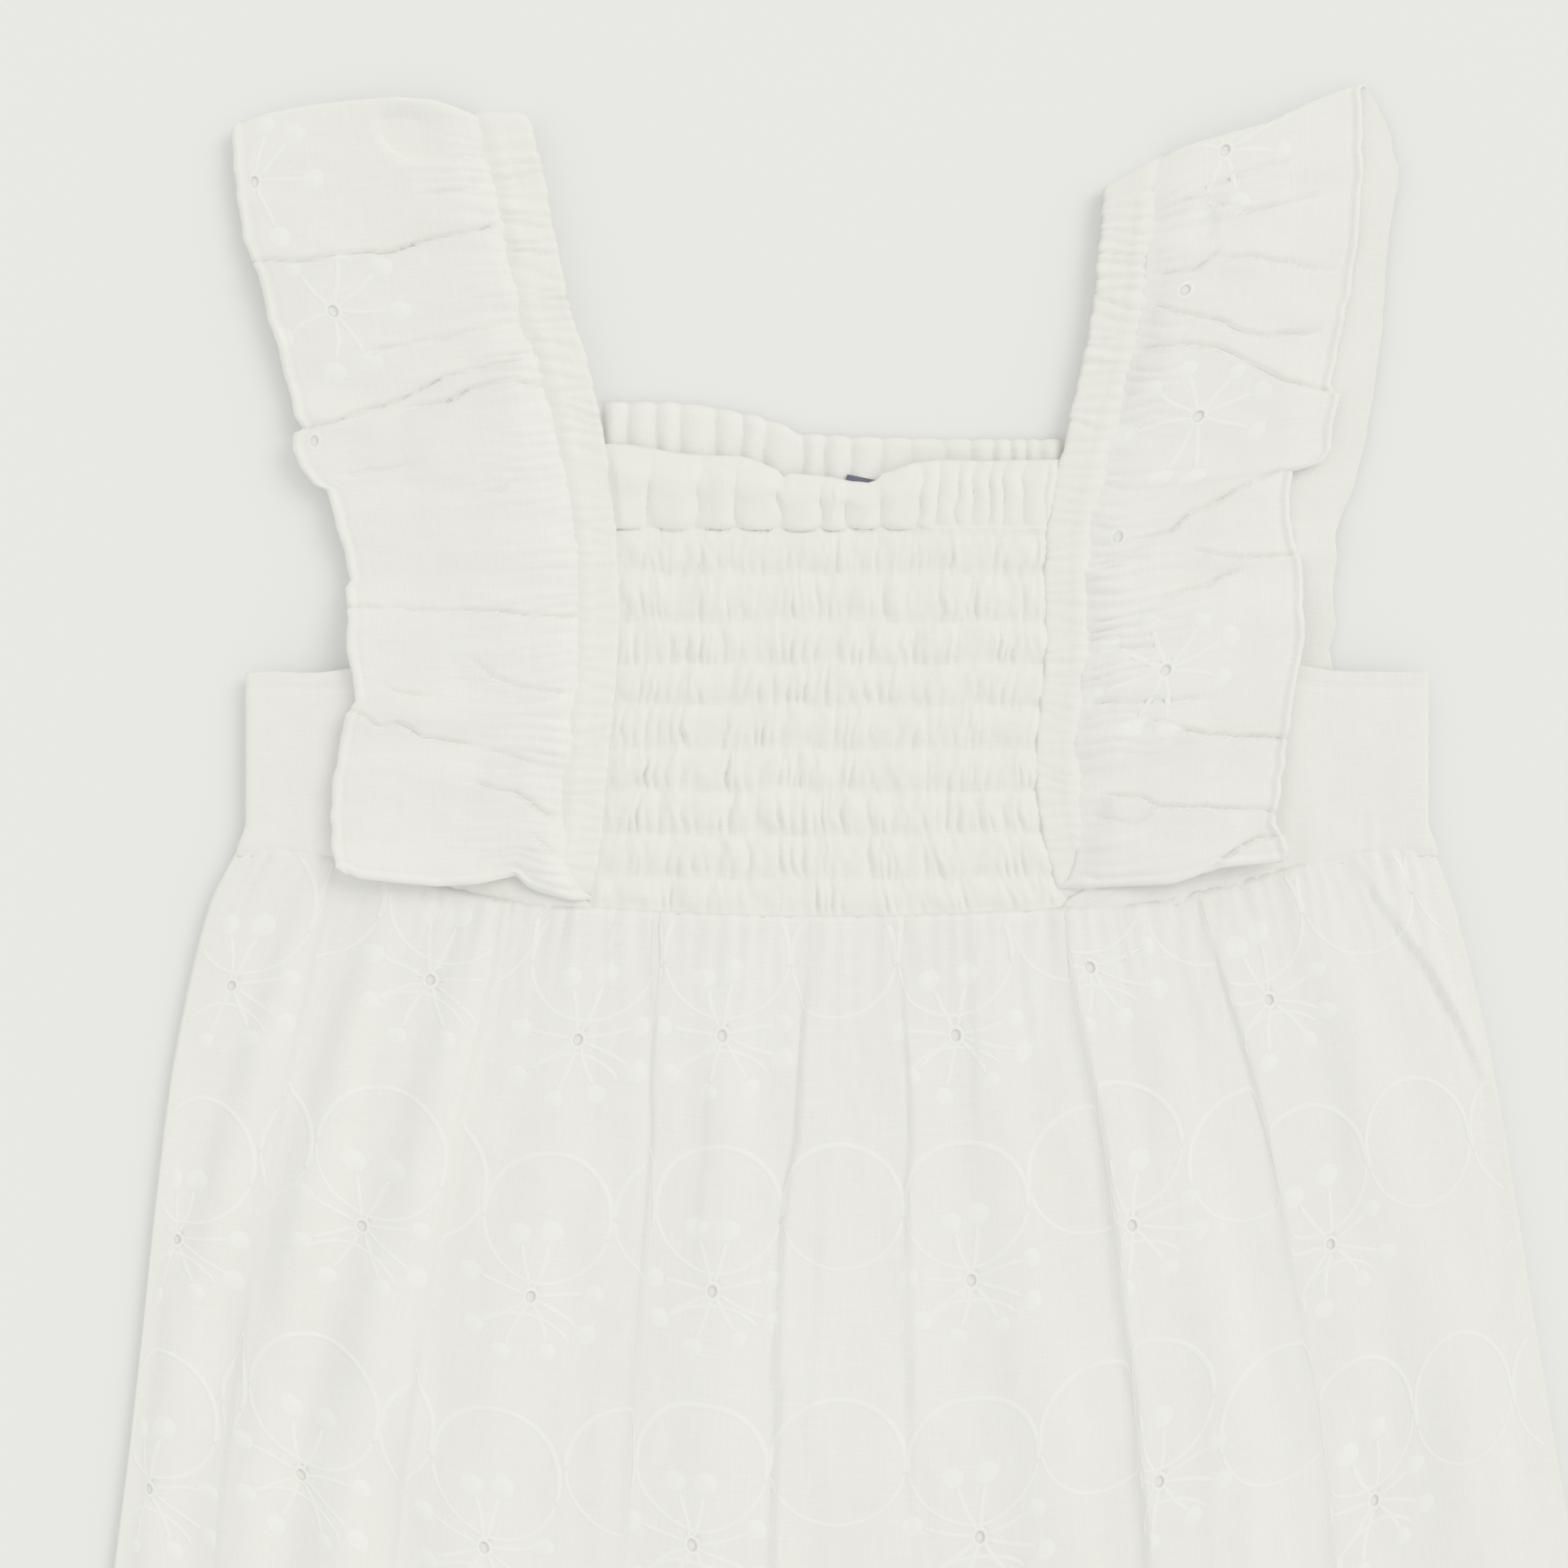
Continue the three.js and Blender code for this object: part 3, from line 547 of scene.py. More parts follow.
flower = {
    "pitch": 50.7,              # from flower to flower, both ways
    "hole": 1.05,               # half the width of the eyelet
    "oval": 1.25,               # it is this many times as long
    "ring": [0.9, 1.75, 0.13],  # inner and outer radius and height of its stitching
    "stem": [1.15, 0.09],       # width and height of a stem
    "arms": {                   # one for each stem and dot
        "turned": [-20, 11, 74, 112, 148, 196, 232, 278],
        "reach": [12.4, 13.0, 12.2, 13.6, 11.2, 11.8, 12.6, 12.0],
        "dot": [6.4, 6.6, 5.4, 5.9, 5.0, 5.3, 5.5, 5.9],
    },
    "dotTall": 0.17,
    "circle": [12.5, 15.6],     # radius, and how far above the row its centre lies
    "arcs": [[-0.55, 0.55, 35], [0.56, 1.44, 27]],  # its upper and lower part in parts of pi, and points
    "upper": [1.4, 0.14],       # width and height of the line of the upper part, and of the lower one
    "lower": [1.0, 0.08],
    "cap": [12.0, 3.2, 0.27],   # radius, how far under the flower, and its half turn in parts of pi
}


def sewFlower(work, u, v, seed, margin=3.0, tall=1.0):
    # Stems run out from the eyelet's ring at their own turns, each to its dot. tall stretches them down.
    arms = flower["arms"]
    draw = np.random.default_rng(seed)
    work.ring(u, v, *flower["ring"])
    for turned, reach, size in zip(arms["turned"], arms["reach"], arms["dot"]):
        angle = math.radians(turned) + draw.uniform(-0.07, 0.07)
        out = np.array([math.sin(angle), -math.cos(angle) * tall])
        far = reach + draw.uniform(-0.6, 0.6)
        end = (u + out[0] * far, v + out[1] * far)
        if not work.surface.holds(*end, margin):
            continue
        share = np.linspace(flower["ring"][1] * 0.85, far - size * 0.35, 7)
        bend = draw.uniform(-0.5, 0.5) * np.sin(np.linspace(0, math.pi, 7))
        work.line(u + out[0] * share - out[1] * bend, v + out[1] * share + out[0] * bend, *flower["stem"])
        wide, long = size * draw.uniform(0.92, 1.06), size * draw.uniform(0.86, 0.98) * tall
        work.dot(*end, wide, long, angle, flower["dotTall"])


def sewPath(work, u, v, wide, tall, margin=1.5):
    # The stretches of a path that lie on the cloth.
    inside = np.array([work.surface.holds(a, b, margin) for a, b in zip(u, v)])
    edges = np.flatnonzero(np.diff(np.r_[0, inside.astype(int), 0]))
    for start, end in zip(edges[::2], edges[1::2]):
        if end - start > 3:
            work.line(u[start:end], v[start:end], wide, tall)


def sewLattice(work, flowers, rows, wide, placeDown):
    # Above each row of flowers lies a chain of circles, one over each flower and one between two. Under
    # each flower is a cap, an arc of a circle. wide is the cloth's width, and placeDown turns a depth at a
    # place across into the grid's own.
    pitch = flower["pitch"]
    for n, (u, v) in enumerate(flowers):
        sewFlower(work, u, v, 40 + n, tall=placeDown(u, 1) - placeDown(u, 0))
    first = flowers[0][0]
    radius, high = flower["circle"]
    upper, lower = (np.linspace(*arc) * math.pi for arc in flower["arcs"])
    capRadius, away, turn = flower["cap"]
    cap = np.linspace(-turn, turn, 17) * math.pi
    for v in rows:
        for at in np.arange(first - pitch, wide + pitch, pitch / 2):
            for a, line in ((upper, flower["upper"]), (lower, flower["lower"])):
                sewPath(work, at + radius * np.sin(a), placeDown(at, v - high - radius * np.cos(a)), *line)
        for at in np.arange(first - pitch, wide + pitch, pitch):
            down = placeDown(at, v + away + capRadius * (1 - np.cos(cap)))
            sewPath(work, at + capRadius * np.sin(cap), down, *flower["lower"])


def cutEyelets(surface, points, coords, places):
    # Round the grid point nearest to each place a block of cells goes, and the points on the block's
    # rim move onto the eyelet's oval. Gives the changed grid, the kept cells and the centres.
    rows, columns = points.shape[:2]
    keep = np.ones((rows - 1, columns - 1), bool)
    points, coords = points.copy(), coords.copy()
    centres = []
    for u, v in places:
        i = int(np.clip(np.abs(coords[0, :, 0] - u).argmin(), 1, columns - 2))
        j = int(np.clip(np.abs(coords[:, 0, 1] - v).argmin(), 1, rows - 2))
        step = np.array([coords[j, i + 1, 0] - coords[j, i, 0], coords[j + 1, i, 1] - coords[j, i, 1]])
        hole = flower["hole"] * np.array([1, flower["oval"]])
        a, b = np.maximum(np.round(hole / step), 1).astype(int)
        if not (a + 1 < i < columns - a - 2 and b + 1 < j < rows - b - 2):
            continue
        dj, di = np.mgrid[-b:b + 1, -a:a + 1]
        rim = (np.abs(di) == a) | (np.abs(dj) == b)
        di, dj = di[rim], dj[rim]
        toward = np.stack([di, dj], 1) * step / hole
        toward *= hole / np.linalg.norm(toward, axis=1, keepdims=True)
        centre = coords[j, i].copy()
        keep[j - b:j + b, i - a:i + a] = False
        moved = centre + toward
        points[j + dj, i + di] = surface.at(*moved.T, np.zeros(len(moved)))
        coords[j + dj, i + di] = moved
        centres.append((float(centre[0]), float(centre[1])))
    return points, coords, keep, centres


# Body of the romper

bodyOutline = {
    "up": [12, 0, -29, -58, -86, -110, -132, -160, -180, -200, -270],
    "left": [118.8, 124.8, 131.5, 135.3, 138.2, 140.9, 143.7, 146.6, 148.0, 148.0, 148.0],
    "right": [119.6, 124.0, 131.2, 136.2, 140.6, 144.6, 148.2, 151.4, 152.8, 152.8, 152.8],
}
creases = {  # folds of the front where the cloth on one side stands up and laps over the other
    "waist": [-99.0, -65.0, -35.4, -5.4, 13.9, 45.0, 72.6, 105.0],
    "mid": [-110.5, -76.0, -36.8, -8.8, 15.0, 55.0, 87.0, 133.0],
    "low": [-122.0, -87.0, -42.0, -11.9, 15.6, 62.4, 99.0, 150.0],
    "height": [1.0, 1.1, 0.8, 1.15, 0.95, 1.8, 1.1, 2.1],
    "step": [2.2, 2.2, 0.8, 0.55, 0.55, 2.0, 1.2, 0.7],    # how wide its flank is
    "reach": [9.0, 9.0, 11.0, 15.0, 12.0, 22.0, 16.0, 9.0],
    "side": [-1.0, -1.0, 1.0, 1.0, 1.0, 1.0, 1.0, 1.0],
    "stretch": [1, 2, 3, 4, 4, 5, 6, 7],    # the stretch between two columns of flowers that it lies in
    "share": [1.0, 1.0, 1.0, 0.65, 0.35, 1.0, 1.0, 0.0],   # how much of the cloth hidden there it takes up
    "fade": [90.0, 110.0, 60.0, 260.0, 120.0, 300.0, 70.0, 42.0],
}
shortCreases = [  # fine ones that start and end on the cloth: places across at these depths, and the height
    {"below": [4, 24, 44], "x": [27.4, 27.9, 28.6], "height": 0.55},
    {"below": [28, 48, 70], "x": [-24.4, -25.8, -27.6], "height": 0.5},
    {"below": [0, 12, 24], "x": [-17.6, -18.2, -19.0], "height": 0.5},
    {"below": [2, 14, 30], "x": [-36.0, -36.6, -37.6], "height": 0.45},
    {"below": [1, 16, 32], "x": [36.2, 38.4, 41.2], "height": 0.5},
    {"below": [60, 84, 110], "x": [-2.8, -3.6, -4.8], "height": 0.4},
]
folds = {  # soft rounded folds of the front
    "waist": [-102.5, -86.7, -69.0, -50.0, -20.0, 30.0, 60.0, 92.0],
    "mid": [-118.5, -101.1, -82.4, -58.0, -22.0, 35.0, 71.0, 110.0],
    "low": [-135.0, -117.0, -98.0, -72.0, -26.0, 45.0, 82.0, 128.0],
    "height": [1.7, 2.5, 2.7, 1.2, 1.0, 1.1, 1.0, 1.2],
    "half": [7.0, 8.5, 9.0, 11.0, 10.0, 10.0, 9.0, 12.0],
}
foldLevels = [0.0, 54.0, 130.0, 280.0]   # millimetres below the waist of the three columns, and the hem
flowerColumns = {  # how far across each column of flowers lies, at these depths below the waist
    "below": [0.0, 19.6, 69.8, 121.7, 280.0],
    "x": [[-112.5, -118.4, -129.9, -136.4, -142.0], [-75.0, -80.5, -93.5, -105.9, -119.0],
          [-45.5, -49.6, -58.6, -68.5, -84.0], [-21.0, -21.7, -23.5, -27.7, -34.0],
          [22.5, 23.7, 26.9, 28.7, 34.0], [49.0, 52.2, 60.1, 65.1, 78.0], [80.0, 85.5, 97.7, 107.1, 121.0]],
    "cloth": [11.0, 61.7, 112.4, 163.1, 213.8, 264.5, 315.2],    # their places across the flat cloth
    "drop": [7.3, -4.0, 3.7, 3.1, 2.9, -8.7, 1.9],  # the gathers let each hang this much lower
}
bodyCloth = {
    "width": 362.0,         # width of the gathered cloth, seam to seam
    "long": 262.0,          # its mean length, waist to hem
    "columns": 366,
    "rows": 127,
    "denser": 1.35,         # rows lie this much closer together at the waist than on average
    "wall": 0.35,
    "tuck": 1.2,            # reaches this far up behind the bodice
    "waistGathers": 66.0,
    "gatherTall": 1.15,
    "gatherLong": 15.0,
    "seamRise": [1.75, 26.0],    # the cloth stands this much higher at the seam, and over how long
    "flowerDown": [19.6, 69.9, 120.9, 171.6, 222.3],
    "liningDrop": [0.72, 0.4, 5.0],     # how far under the cloth it lies, how far at an eyelet, how near
    "liningWall": 0.2,
    "nearStraps": [44.0, 60.0],     # beyond these the cloth lies over the side panel
    "underSide": [0.15, 0.9],   # lift between the straps, and how far under the side panel's top beyond
    "atSeams": 0.02,            # share of the width over which the side seams lie flat
    "lowest": -0.35,
    "foldUneven": 0.35,     # how much the soft folds vary along their length
    "wander": [0.6, 1.5],   # how far a crease leaves its line, over short and long stretches
    "valley": 0.2,          # depth of the valley before a crease, as a share of its height
    "creasing": [0.40, 0.16, 0.12, 0.05],   # heights of the small creasing, from long to fine
    "hemGathers": [64.0, 1.4, 13.0],        # how many, how tall and how long
}


def hemUp(across):
    # Level at the crotch, a smooth corner, and up each leg as a blend of a straight line and a smooth curve.
    wide, half = sum(cut["seamOut"]), cut["crotchHalf"]
    fromMiddle = np.abs(across - 0.5) * wide
    corner = mix(cut["crotchUp"], cut["legInUp"], ramp(half - cut["crotchCorner"], half, fromMiddle))
    straight = np.clip((fromMiddle - half) / (wide / 2 - half), 0, 1)
    leg = mix(cut["legInUp"], cut["legOutUp"], mix(straight, ramp(0, 1, straight), cut["legCurve"]))
    return np.where(fromMiddle <= half, corner, leg)


def bodyPlan(across, down):
    # Place on the body from the left seam to the right, and from the waist, 0, to the hem, 1.
    y = mix(waistUp(mix(-120, 120, across)) + bodyCloth["tuck"], hemUp(across), down)
    left = -throughRows(bodyOutline, "up", "left", y)
    right = throughRows(bodyOutline, "up", "right", y)
    return mix(left, right, across), y


def foldPlace(table, k, below):
    # How far across a fold lies at a depth: cubic pieces through its three places and one carried on.
    ends = table["low"][k] + 0.5 * (table["low"][k] - table["mid"][k])
    rows = {"below": foldLevels, "x": [table["waist"][k], table["mid"][k], table["low"][k], ends]}
    return throughRows(rows, "below", "x", below)


def bodyDown():
    # Rows from the waist, 0, to the hem, 1: their steps grow evenly.
    share = np.linspace(0, 1, bodyCloth["rows"])
    first = 1 / bodyCloth["denser"]
    return first * share + (1 - first) * share**2


def bodyAcross():
    # For every row, where even steps of cloth lie across the garment: the columns of flowers keep their
    # places, and what is left over between two of them is hidden in the creases that lie there.
    fine = np.linspace(0, 1, 1600)
    steps = np.linspace(0, bodyCloth["width"], bodyCloth["columns"])
    columns = [{"below": flowerColumns["below"], "x": places} for places in flowerColumns["x"]]
    cloths = np.r_[0, flowerColumns["cloth"], bodyCloth["width"]]
    across = np.empty((bodyCloth["rows"], bodyCloth["columns"]))
    for j, down in enumerate(bodyDown()):
        x, y = bodyPlan(fine, down)
        below = waistUp(x) - y
        shown = [np.interp(0, x - throughRows(column, "below", "x", below), x) for column in columns]
        shown = np.r_[x[0], shown, x[-1]]
        hidden = np.maximum(np.diff(cloths) - np.diff(shown), 0)
        hidden[[0, -1]] = 0
        covered = np.interp(x, shown, cloths - np.r_[0, np.cumsum(hidden)])
        for k in range(len(creases["waist"])):
            away = x - foldPlace(creases, k, below)
            covered += creases["share"][k] * hidden[creases["stretch"][k]] * ramp(-1.0, 1.0, away)
        across[j] = np.interp(steps, np.maximum.accumulate(covered), fine)
    return across


def bodyRelief(x, y, across, down):
    # Rounded folds are squared cosines across their lines. A crease is a step up to a crest that sinks
    # back over its reach, with a shallow valley before it; a short one sinks back along an exponential.
    # Noise adds the small creasing.
    below = waistUp(x) - y
    open_ = mix(0.3, 1.0, ramp(0, 42, below)) * mix(0.35, 1.0, ramp(0, 0.14, 1 - down))
    relief = np.zeros_like(x)
    for k in range(len(folds["waist"])):
        half = folds["half"][k] * mix(0.7, 1.2, ramp(0, 120, below))
        away = np.abs(x - foldPlace(folds, k, below)) / half
        uneven = 1 + bodyCloth["foldUneven"] * softNoise(below / 24, k + 0.5, 35)
        relief += folds["height"][k] * uneven * np.cos(np.minimum(away, 1) * math.pi / 2) ** 2
    short, long = bodyCloth["wander"]
    for k in range(len(creases["waist"])):
        away = (x - foldPlace(creases, k, below)) * creases["side"][k]
        away = away + short * softNoise(below / 11, k + 0.5, 36) + long * softNoise(below / 34, k + 0.5, 37)
        lasts = 0.12 + 0.88 * bell(below, creases["fade"][k])
        step, reach = creases["step"][k], creases["reach"][k]
        lap = ramp(-step, 0.6 * step, away) * np.clip(1 - np.maximum(away, 0) / reach, 0, 1) ** 1.6
        valley = bell(away + 1.2 * step, 1.6 * step)
        relief += creases["height"][k] * lasts * (lap - bodyCloth["valley"] * valley)
    for n, crease in enumerate(shortCreases):
        levels = crease["below"]
        away = x - np.interp(below, levels, crease["x"]) + 0.4 * softNoise(below / 9, n + 0.5, 38)
        lasts = ramp(levels[0] - 3, levels[0] + 6, below)
        lasts = lasts * (1 - ramp(levels[-1] - 14, levels[-1] + 4, below))
        relief += crease["height"] * lasts * ramp(-0.45, 0.35, away) * np.exp(-np.maximum(away, 0) / 3.5)
    long = bodyCloth["gatherLong"] * (1.0 + 0.7 * softNoise(across * 46, 0.5, 5))
    seam = np.exp(-np.maximum(below, 0) / long)
    small = gathers(across * bodyCloth["waistGathers"], below / 13, 11) * bodyCloth["gatherTall"] * seam
    many, tall, long = bodyCloth["hemGathers"]
    hem = gathers(across * many, below / 14, 21) * tall * np.exp(-(1 - down) * 250 / long)
    noises = (softNoise(x / 9 + 0.16 * y / 9, y / 40, 31), softNoise(x / 3.6, y / 15, 32),
              softNoise(x / 7, y / 5, 33), softNoise(x / 2.1, y / 2.4, 34))
    creasing = sum(height * noise for height, noise in zip(bodyCloth["creasing"], noises))
    return open_ * (relief + creasing * ramp(0, 30, below)) + small + hem


def makeFrontBody():
    # The height is the layer's own, a lift over the side panels, and a rise at the seam that dies out
    # exponentially, with the relief on top. The lining is the same grid lower down, and raised near each
    # eyelet by a bell curve.
    spec = bodyCloth
    down = bodyDown()[:, None]
    across = bodyAcross()
    x, y = bodyPlan(across, down)
    below = waistUp(x) - y
    beyond = ramp(*spec["nearStraps"], np.abs(x))
    edge = ramp(0, spec["atSeams"], across) * ramp(0, spec["atSeams"], 1 - across)
    lift = mix(spec["underSide"][0], layer["sideFront"] - layer["frontBody"] - spec["underSide"][1], beyond)
    lift = lift * (1 - ramp(2, 30, below))
    free = ramp(-2.0, -0.5, below)  # nothing stands up where the bodice lies over it
    tall, long = spec["seamRise"]
    rise = tall * np.exp(-np.maximum(below, 0) / long) * (1 - 0.8 * beyond)
    relief = np.maximum(bodyRelief(x, y, across, down), spec["lowest"])
    points = np.stack([x, y, layer["frontBody"] + lift + free * (rise + edge * relief)], -1)
    u = np.linspace(0, spec["width"], spec["columns"])[None, :]
    coords = spread(u, down * spec["long"])
    surface = ClothSurface(points, coords)
    length = points[0, :, 1] - points[-1, :, 1]

    def placeDown(at, depth):
        # Millimetres below the waist, and what the gathers let that column drop, over the column's length.
        drop = np.interp(at, flowerColumns["cloth"], flowerColumns["drop"])
        return (depth + drop + spec["tuck"]) * spec["long"] / np.interp(at, u[0], length)

    places = [(column, placeDown(column, row))
              for row in spec["flowerDown"] for column in flowerColumns["cloth"]]
    near = np.zeros(points.shape[:2])
    drop, atEyelet, reach = spec["liningDrop"]
    for place in places:
        near = np.maximum(near, bell(np.hypot(*np.moveaxis(coords - place, -1, 0)), reach))
    lined = points.copy()
    lined[..., 2] -= mix(drop, atEyelet, near)
    lined = lined[::2, ::2]
    # The lining's darker, warmer tint is painted shade where it shows through the eyelets.
    shadedLining = cloth("frontLining", lined, coords[::2, ::2], material["shadedLining"], spec["liningWall"], flip=True)
    points, coords, keep, centres = cutEyelets(surface, points, coords, places)
    piece = cloth("frontBody", points, coords, material["cotton"], spec["wall"], keep=keep, flip=True)
    work = Stitchery(surface)
    sewLattice(work, centres, spec["flowerDown"], spec["width"], placeDown)
    embroidery = work.finish("frontBodyEmbroidery", material["embroidery"])
    declare(piece, "cotton", points, "gathered", ["frontLining"], "front_body", with_pieces=[embroidery])
    declare(shadedLining, "cotton", lined, "gathered", ["backBody"])
    print("front body made")


makeFrontBody()


backBodyCloth = {"rows": 90, "columns": 150, "width": 400.0, "lift": 0.62, "gathers": 60.0, "tall": 0.24,
                 "long": [22.0, 16.0], "creasing": 0.1, "wall": 0.4}


def makeBackBody():
    # The same plan as the front, with shallow gathers that die out exponentially from both seams.
    spec = backBodyCloth
    down = np.linspace(0, 1, spec["rows"])[:, None]
    across = np.linspace(0, 1, spec["columns"])[None, :]
    x, y = bodyPlan(across, down)
    below = waistUp(x) - y
    atSeams = np.exp(-below / spec["long"][0]) + np.exp(-(1 - down) * 250 / spec["long"][1])
    drawn = gathers(across * spec["gathers"], below / 16, 51) * atSeams
    z = spec["lift"] + spec["tall"] * drawn + spec["creasing"] * softNoise(x / 11, y / 50, 52)
    points = spread(x, y, z)
    coords = spread(across * spec["width"], down * bodyCloth["long"])
    piece = cloth("backBody", points, coords, material["cotton"], spec["wall"], flip=True)
    declare(piece, "cotton", points, "laid", ["floor"], "back_body")
    print("back body made")


makeBackBody()


# Shoulder straps

shoulderLine = {  # the folded top of each strap and ruffle
    "left": {"out": [60, 71.6, 74.8, 79.7, 86.7, 97.4, 105.5, 113.6, 119.4, 121],
             "up": [159.0, 158.8, 159.7, 161.2, 161.8, 161.0, 160.1, 158.6, 156.3, 153.8]},
    "right": {"out": [52.8, 57.7, 64, 68.4, 79.1, 87.2, 95.3, 102.2, 105.5],
              "up": [143.8, 146.4, 149.4, 151.4, 154.6, 156.9, 160.9, 163.6, 164.4]},
}
strapEdge = {
    "left": {"up": [0, 11, 28, 52, 68, 84, 102, 121, 139, 160],
             "out": [48.8, 46.5, 44.9, 42.8, 42.8, 44.1, 47.3, 52.6, 56.4, 60.8]},
    "right": {"up": [0, 12, 28, 52, 66, 80, 94, 107, 120, 148],
              "out": [46.0, 42.2, 40.2, 42.2, 42.0, 43.2, 46.2, 49.1, 51.6, 54.3]},
}
strapCloth = {
    "wall": 0.5,
    "columns": 17,
    "frontRows": 300,
    "turnRows": 10,
    "backRows": 70,
    "puckers": 60.0,        # along the front
    "elastics": [0.2, 0.5, 0.8],
    "pinch": [0.35, 0.06],  # how much an elastic flattens them, and how wide
    "tall": 0.95,
    "corner": {"left": [3.0, 5.0], "right": [0.8, 2.0]},    # how far the neck edge rounds off, and how long
    "sink": [2.1, 6.0],     # how far its lower end sinks into the waist seam, and over how long
    "lap": 1.2,             # how far it lies over the ruffle's seam
    "foldUnder": 2.3,       # its rows end this far under the shoulder's height
    "rough": [0.55, 0.25],  # how uneven its neck edge is near the shoulder, and everywhere
    "low": 0.1,             # height of its back half, and the height of the puckers there
    "lowTall": 0.3,
    "width": 10.0,
}


def strapInner(side, up):
    # Cubic pieces through the table of the neck edge.
    return throughRows(strapEdge[side], "up", "out", up)


def strapOuter(side, up):
    # The neck edge and a width that grows smoothly towards the shoulder.
    return strapInner(side, up) + mix(*cut["strapWide"], ramp(70, 120, up))


def overShoulder(front, back, turnRows):
    # Front rows, then half circles up round the fold, then the back rows from the shoulder down.
    top, under = front[-1], back[-1]
    radius = (top[:, 2] - under[:, 2]) / 2
    angle = np.linspace(0, math.pi, turnRows + 2)[1:-1, None]
    share = (angle / math.pi)[..., None]
    turn = mix(top[None], under[None], share)
    turn[..., 1] += radius * np.sin(angle)
    turn[..., 2] = under[:, 2] + radius * (1 + np.cos(angle))
    return np.concatenate([front, turn, back[::-1]])


def makeStrap(side):
    # A ruched band: puckers across it that lasting elastics pinch, over the shoulder and down the back.
    # Near the fold a quarter circle rounds off its neck edge.
    spec = strapCloth
    seed = 61 if side == "left" else 71
    across = np.linspace(0, 1, spec["columns"])[None, :]
    shoulder = shoulderLine[side]
    high = cut["shoulderUp"][side] - spec["foldUnder"]
    pinch = pinchAt(across, spec["elastics"], *spec["pinch"])

    def plan(share):
        # Straight steps up the strap, bent to the shoulder's line by an exponential.
        up = mix(strapWaist - 0.6, high, share)
        inner, outer = strapInner(side, up), strapOuter(side, up) + spec["lap"]
        rough = spec["rough"][0] * softNoise(up / 2.1, 0.5, seed) * ramp(70, 100, up)
        out = mix(inner + (rough + spec["rough"][1] * softNoise(up / 1.6, 3.5, seed)), outer, across)
        radius = (layer["strap"] - spec["low"]) / 2
        slope = np.interp(out, shoulder["out"], shoulder["up"]) - radius - high
        return out, up + slope * np.exp((up - high) / 7)

    share = np.linspace(0, 1, spec["frontRows"])[:, None]
    out, up = plan(share)
    strong = mix(0.55, 1.0, ramp(80, 108, up)) * (1 + 0.45 * softNoise(across * 1.3, up / 5, seed + 5))
    place = share * spec["puckers"] + 0.45 * softNoise(across * 1.4, share * 30, seed + 1)
    puckered = gathers(place, across * 1.5, seed + 2, 0.9) * spec["tall"] * strong * pinch
    puckered = puckered * (1 - 0.65 * ramp(0.68, 1, across))
    flat = 1 - ramp(0.97, 1, share)
    rounded = 0.5 * ramp(0.3, 0.7, across) - 0.6 * ramp(0.74, 1, across)
    rounded = rounded - 0.5 * np.maximum(1 - 2 * across, 0) ** 6
    sunk = spec["sink"][0] * (1 - ramp(0, spec["sink"][1], up - strapWaist))
    front = np.stack([sign[side] * out, up, layer["strap"] - sunk + (puckered - 0.3) * flat + rounded], -1)
    share = np.linspace(0, 1, spec["backRows"])[:, None]
    out, up = plan(share)
    dents = gathers(share * spec["puckers"], across * 2.0, seed + 3) * spec["lowTall"]
    back = np.stack([sign[side] * out, up, spec["low"] + dents * pinch], -1)
    points = overShoulder(front, back, spec["turnRows"])
    wide, long = spec["corner"][side]
    top = np.interp(np.abs(points[..., 0]), shoulder["out"], shoulder["up"])
    near = np.clip(1 - (top - points[..., 1]) / long, 0, 1)
    points[..., 0] += sign[side] * wide * (1 - np.sqrt(1 - near**2)) * (1 - across)
    piece = cloth("strap" + side.capitalize(), points, clothPlaces(points, spec["width"]),
                  material["elasticCotton"], spec["wall"], flip=side == "left")
    declare(piece, "elastic_cotton", points, "folded", ["frontBodice", "backBodice"], "strap_" + side)


for side in ("left", "right"):
    makeStrap(side)
print("straps made")


# Smocked front

smock = {
    "elasticUp": [-0.4, 7.1, 15.4, 23.8, 32.2, 40.7, 49.1, 57.5, 67.0, 75.6],
    "gathers": 36.0,
    "columns": 344,
    "rowLines": 9,
    "frillLines": 22,
    "puff": 1.3,
    "uneven": 0.32,
    "dentDeep": [0.12, 0.88],   # least depth of a dent, as a share of the puff, and what chance adds
    "dentReach": [0.2, 0.55],   # and how far up the row it reaches
    "dentWide": 0.19,           # in gathers
    "fine": [0.17, 0.14],       # heights of the small creasing
    "scallop": [1.7, 0.8],      # depth of the frill's scallops, and what noise adds
    "edge": 0.035,              # share of the width over which it sinks under a strap
    "wall": 0.4,
    "tuck": 1.6,            # reaches this far behind each strap
    "frillTop": {"x": [-50, -40, -31.6, -21, -14, -11, -9.9, -8.4, -4, 0.5, 3.7, 6.8, 8.2, 9.6, 14, 20, 32,
                       50],
                 "up": [92.8, 92.5, 91.2, 90.4, 89.0, 87.8, 86.2, 87.0, 86.6, 86.0, 85.0, 84.6, 85.2, 86.8,
                        88.3, 89.2, 89.4, 89.8]},
    "frillGrooves": [-46, -36.5, -27.3, -19.5, -10.8, -2.7, 3.0, 9.5, 17.0, 20.5, 24.5, 27.5, 31.0, 34.0,
                     38.0, 42.0, 46.0],
    "frillTall": 2.1,
    "frillProfile": [[0, 0.05, 0.15, 0.34, 0.52, 0.66, 0.84, 1], [0, 0.5, 0.8, 0.98, 1.2, 1.16, 0.7, 0.3]],
    "calmer": [15.0, 22.0],     # beyond these, on the right, the frill lies flatter
    "width": 200.0,
}


def frillPuff(x):
    # 0 in each groove of the frill, and 1 on the crest half way to the next.
    return flutes(x, smock["frillGrooves"], 0.5)


